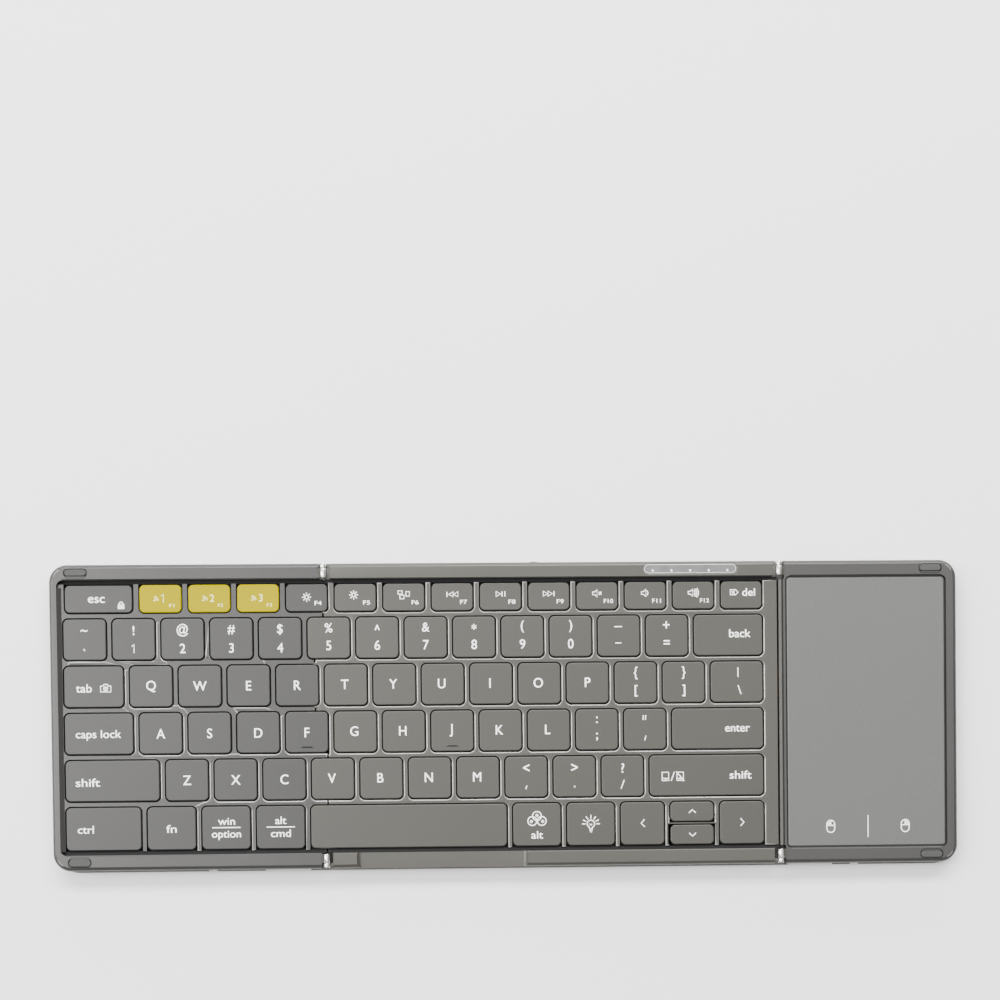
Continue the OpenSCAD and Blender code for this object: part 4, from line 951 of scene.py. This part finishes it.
# A pale line inside the window's edge: painted highlight of its bevel.
window_rim_highlight = drawn([stadium(window_low, window_high, 0.32)], window_at, 0, 0, line=0.22 * MM)
finish_piece(window_rim_highlight, "indicator_window", rim_highlight_paint)
rename(window_rim_highlight, "window_rim_highlight")

# Black lines round the rubber feet: painted shade of the grooves round them.
BUMPER_DEPTH = 2.85 * MM
for node, name in (("left_bumpers", "left_bumper_groove_shade"), ("right_bumpers", "right_bumper_groove_shade")):
    low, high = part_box(node)
    groove_shades = []
    for side in (-1, 1):
        near = Vector((low.x, side * high.y - BUMPER_DEPTH / 2 - side * BUMPER_DEPTH / 2, 0))
        far = Vector((high.x, near.y + BUMPER_DEPTH, 0))
        at = Vector(((low.x + high.x) / 2, (near.y + far.y) / 2, rail_top))
        groove_shades.append(drawn([stadium(near, far, -0.12)], at, 0, 0, line=0.24 * MM))
    finish_piece(join(groove_shades, name), node, painted_shade_black)

# The homing bars on the F and J keys get a dark line on top: painted shade of the raised bars.
for node, index in (("caps_and_letter_keys", 4), ("home_letter_keys", 2)):
    at = cap_places(node)[index]
    at.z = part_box(node)[1].z
    at.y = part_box(node)[0].y + 1.9 * MM
    bar = drawn([[(-1.7, 0), (1.7, 0)]], at, 0, 0)
    finish_piece(bar, node, painted_shade_black)
    rename(bar, node + "_homing_shade")


# ---- Leather ----

CREASE_STEPS = (-1.2, -0.6, 0.0, 0.6, 1.2)
CREASE_LIFT = 0.15 * MM


def lift_line(piece, crease, reach, below):
    """Lifts the vertices that lie within reach of the crease and below a height."""
    bpy.ops.mesh.select_mode(type="VERT")
    mesh = bmesh.from_edit_mesh(piece.data)
    for vert in mesh.verts:
        vert.select_set(abs(vert.co.x - crease) < reach and vert.co.z < below)
    bmesh.update_edit_mesh(piece.data)
    bpy.ops.transform.translate(value=(0, 0, CREASE_LIFT))


def leather_piece(node, name, crease=None):
    """A leather panel with turned edges, and with a crease across it where it folds."""
    piece = cad_copy(node, name)
    if crease is not None:
        hold(piece)
        bpy.ops.object.mode_set(mode="EDIT")
        for shift in CREASE_STEPS:
            bpy.ops.mesh.select_all(action="SELECT")
            bpy.ops.mesh.bisect(plane_co=(crease + shift * MM, 0, 0), plane_no=(1, 0, 0))
        bpy.ops.mesh.select_all(action="DESELECT")
        lift_line(piece, crease, 0.7 * MM, 0.1 * MM)
        lift_line(piece, crease, 0.1 * MM, 0.3 * MM)
        bpy.ops.object.mode_set(mode="OBJECT")
    soften(piece, 0.28 * MM, 3, lambda edge: between_top_and_wall(edge) and middle_of(edge).z < 0.1 * MM)
    smooth(piece, 50)
    finish_piece(piece, node, leather)


leather_piece("middle_leather", "middle_leather_panel")
leather_piece("left_cover_leather", "left_leather_panel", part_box("left_cover_leather")[1].x - 17.5 * MM)
leather_piece("right_cover_leather", "right_leather_panel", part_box("right_cover_leather")[0].x + 7.4 * MM)
leather_piece("left_spine_leather", "left_spine_panel")
leather_piece("right_spine_leather", "right_spine_panel")


# ---- Flat cables ----


def cable_piece(node, name):
    """A thin strip, cut into small faces, in the place of a CAD cable that crosses a fold line."""
    low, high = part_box(node)
    bpy.ops.object.select_all(action="DESELECT")
    bpy.ops.mesh.primitive_cube_add(size=1, location=(low + high) / 2)
    strip = bpy.context.object
    strip.scale = high - low
    settle(strip)
    bpy.ops.object.mode_set(mode="EDIT")
    bpy.ops.mesh.select_all(action="SELECT")
    bpy.ops.mesh.subdivide(number_cuts=23)
    bpy.ops.object.mode_set(mode="OBJECT")
    rename(strip, name)
    paint(strip, amber_film)
    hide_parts(node)
    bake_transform(strip)


cable_piece("left_flat_cable", "left_cable_strip")
cable_piece("right_flat_cable", "right_cable_strip")


# ---- Floor, light and camera ----

def lay_floor():
    """The pale floor that the keyboard lies on."""
    bpy.ops.object.select_all(action="DESELECT")
    bpy.ops.mesh.primitive_plane_add(size=6, location=(0, 0, -0.05 * MM))
    floor = bpy.context.object
    floor.name = "pale_floor"
    material, tree, shader = new_material("pale_floor_paint", 0.9, specular=0.1)
    place = object_place(tree)
    clouds = noise(tree, place, 2.0)
    mottle(tree, shader, clouds, (0.93, 0.93, 0.93), (0.95, 0.95, 0.95))
    paint(floor, material)


def hang_light(name, place, aim, size, power):
    """A square soft light that points at a place."""
    bpy.ops.object.select_all(action="DESELECT")
    bpy.ops.object.light_add(type="AREA", location=place)
    lamp = bpy.context.object
    lamp.name = name
    lamp.data.shape = "RECTANGLE"
    lamp.data.size, lamp.data.size_y = size
    lamp.data.energy = power
    lamp.rotation_euler = (Vector(aim) - Vector(place)).to_track_quat("-Z", "Y").to_euler()


lay_floor()
hang_light("overhead_light", (0.0, 0.1, 1.4), (0, 0, 0), (1.8, 1.2), 12)
hang_light("rear_light", (0.0, 0.85, 1.0), (0, 0, 0), (1.7, 0.35), 40)
hang_light("left_light", (-0.9, 0.1, 1.0), (0, 0, 0), (0.35, 1.3), 22)
hang_light("low_rear_light", (0.1, 1.0, 0.25), (0, 0, 0.05), (1.8, 0.25), 12)

world = bpy.data.worlds.new("studio")
bpy.context.scene.world = world
world.use_nodes = True
backdrop = world.node_tree.nodes["Background"]
backdrop.inputs["Color"].default_value = (1, 1, 1, 1)
backdrop.inputs["Strength"].default_value = 0.45

bpy.ops.object.select_all(action="DESELECT")
bpy.ops.object.camera_add(location=(0.0, -0.0341, 0.65),
                          rotation=(math.radians(-1.2677), math.radians(-1.9291), math.radians(-0.6077)))
camera = bpy.context.object
camera.name = "photo_camera"
camera.data.lens = 68.57
camera.data.sensor_width = 36
camera.data.shift_x = -0.07267
camera.data.shift_y = 0.35808
bpy.context.scene.camera = camera
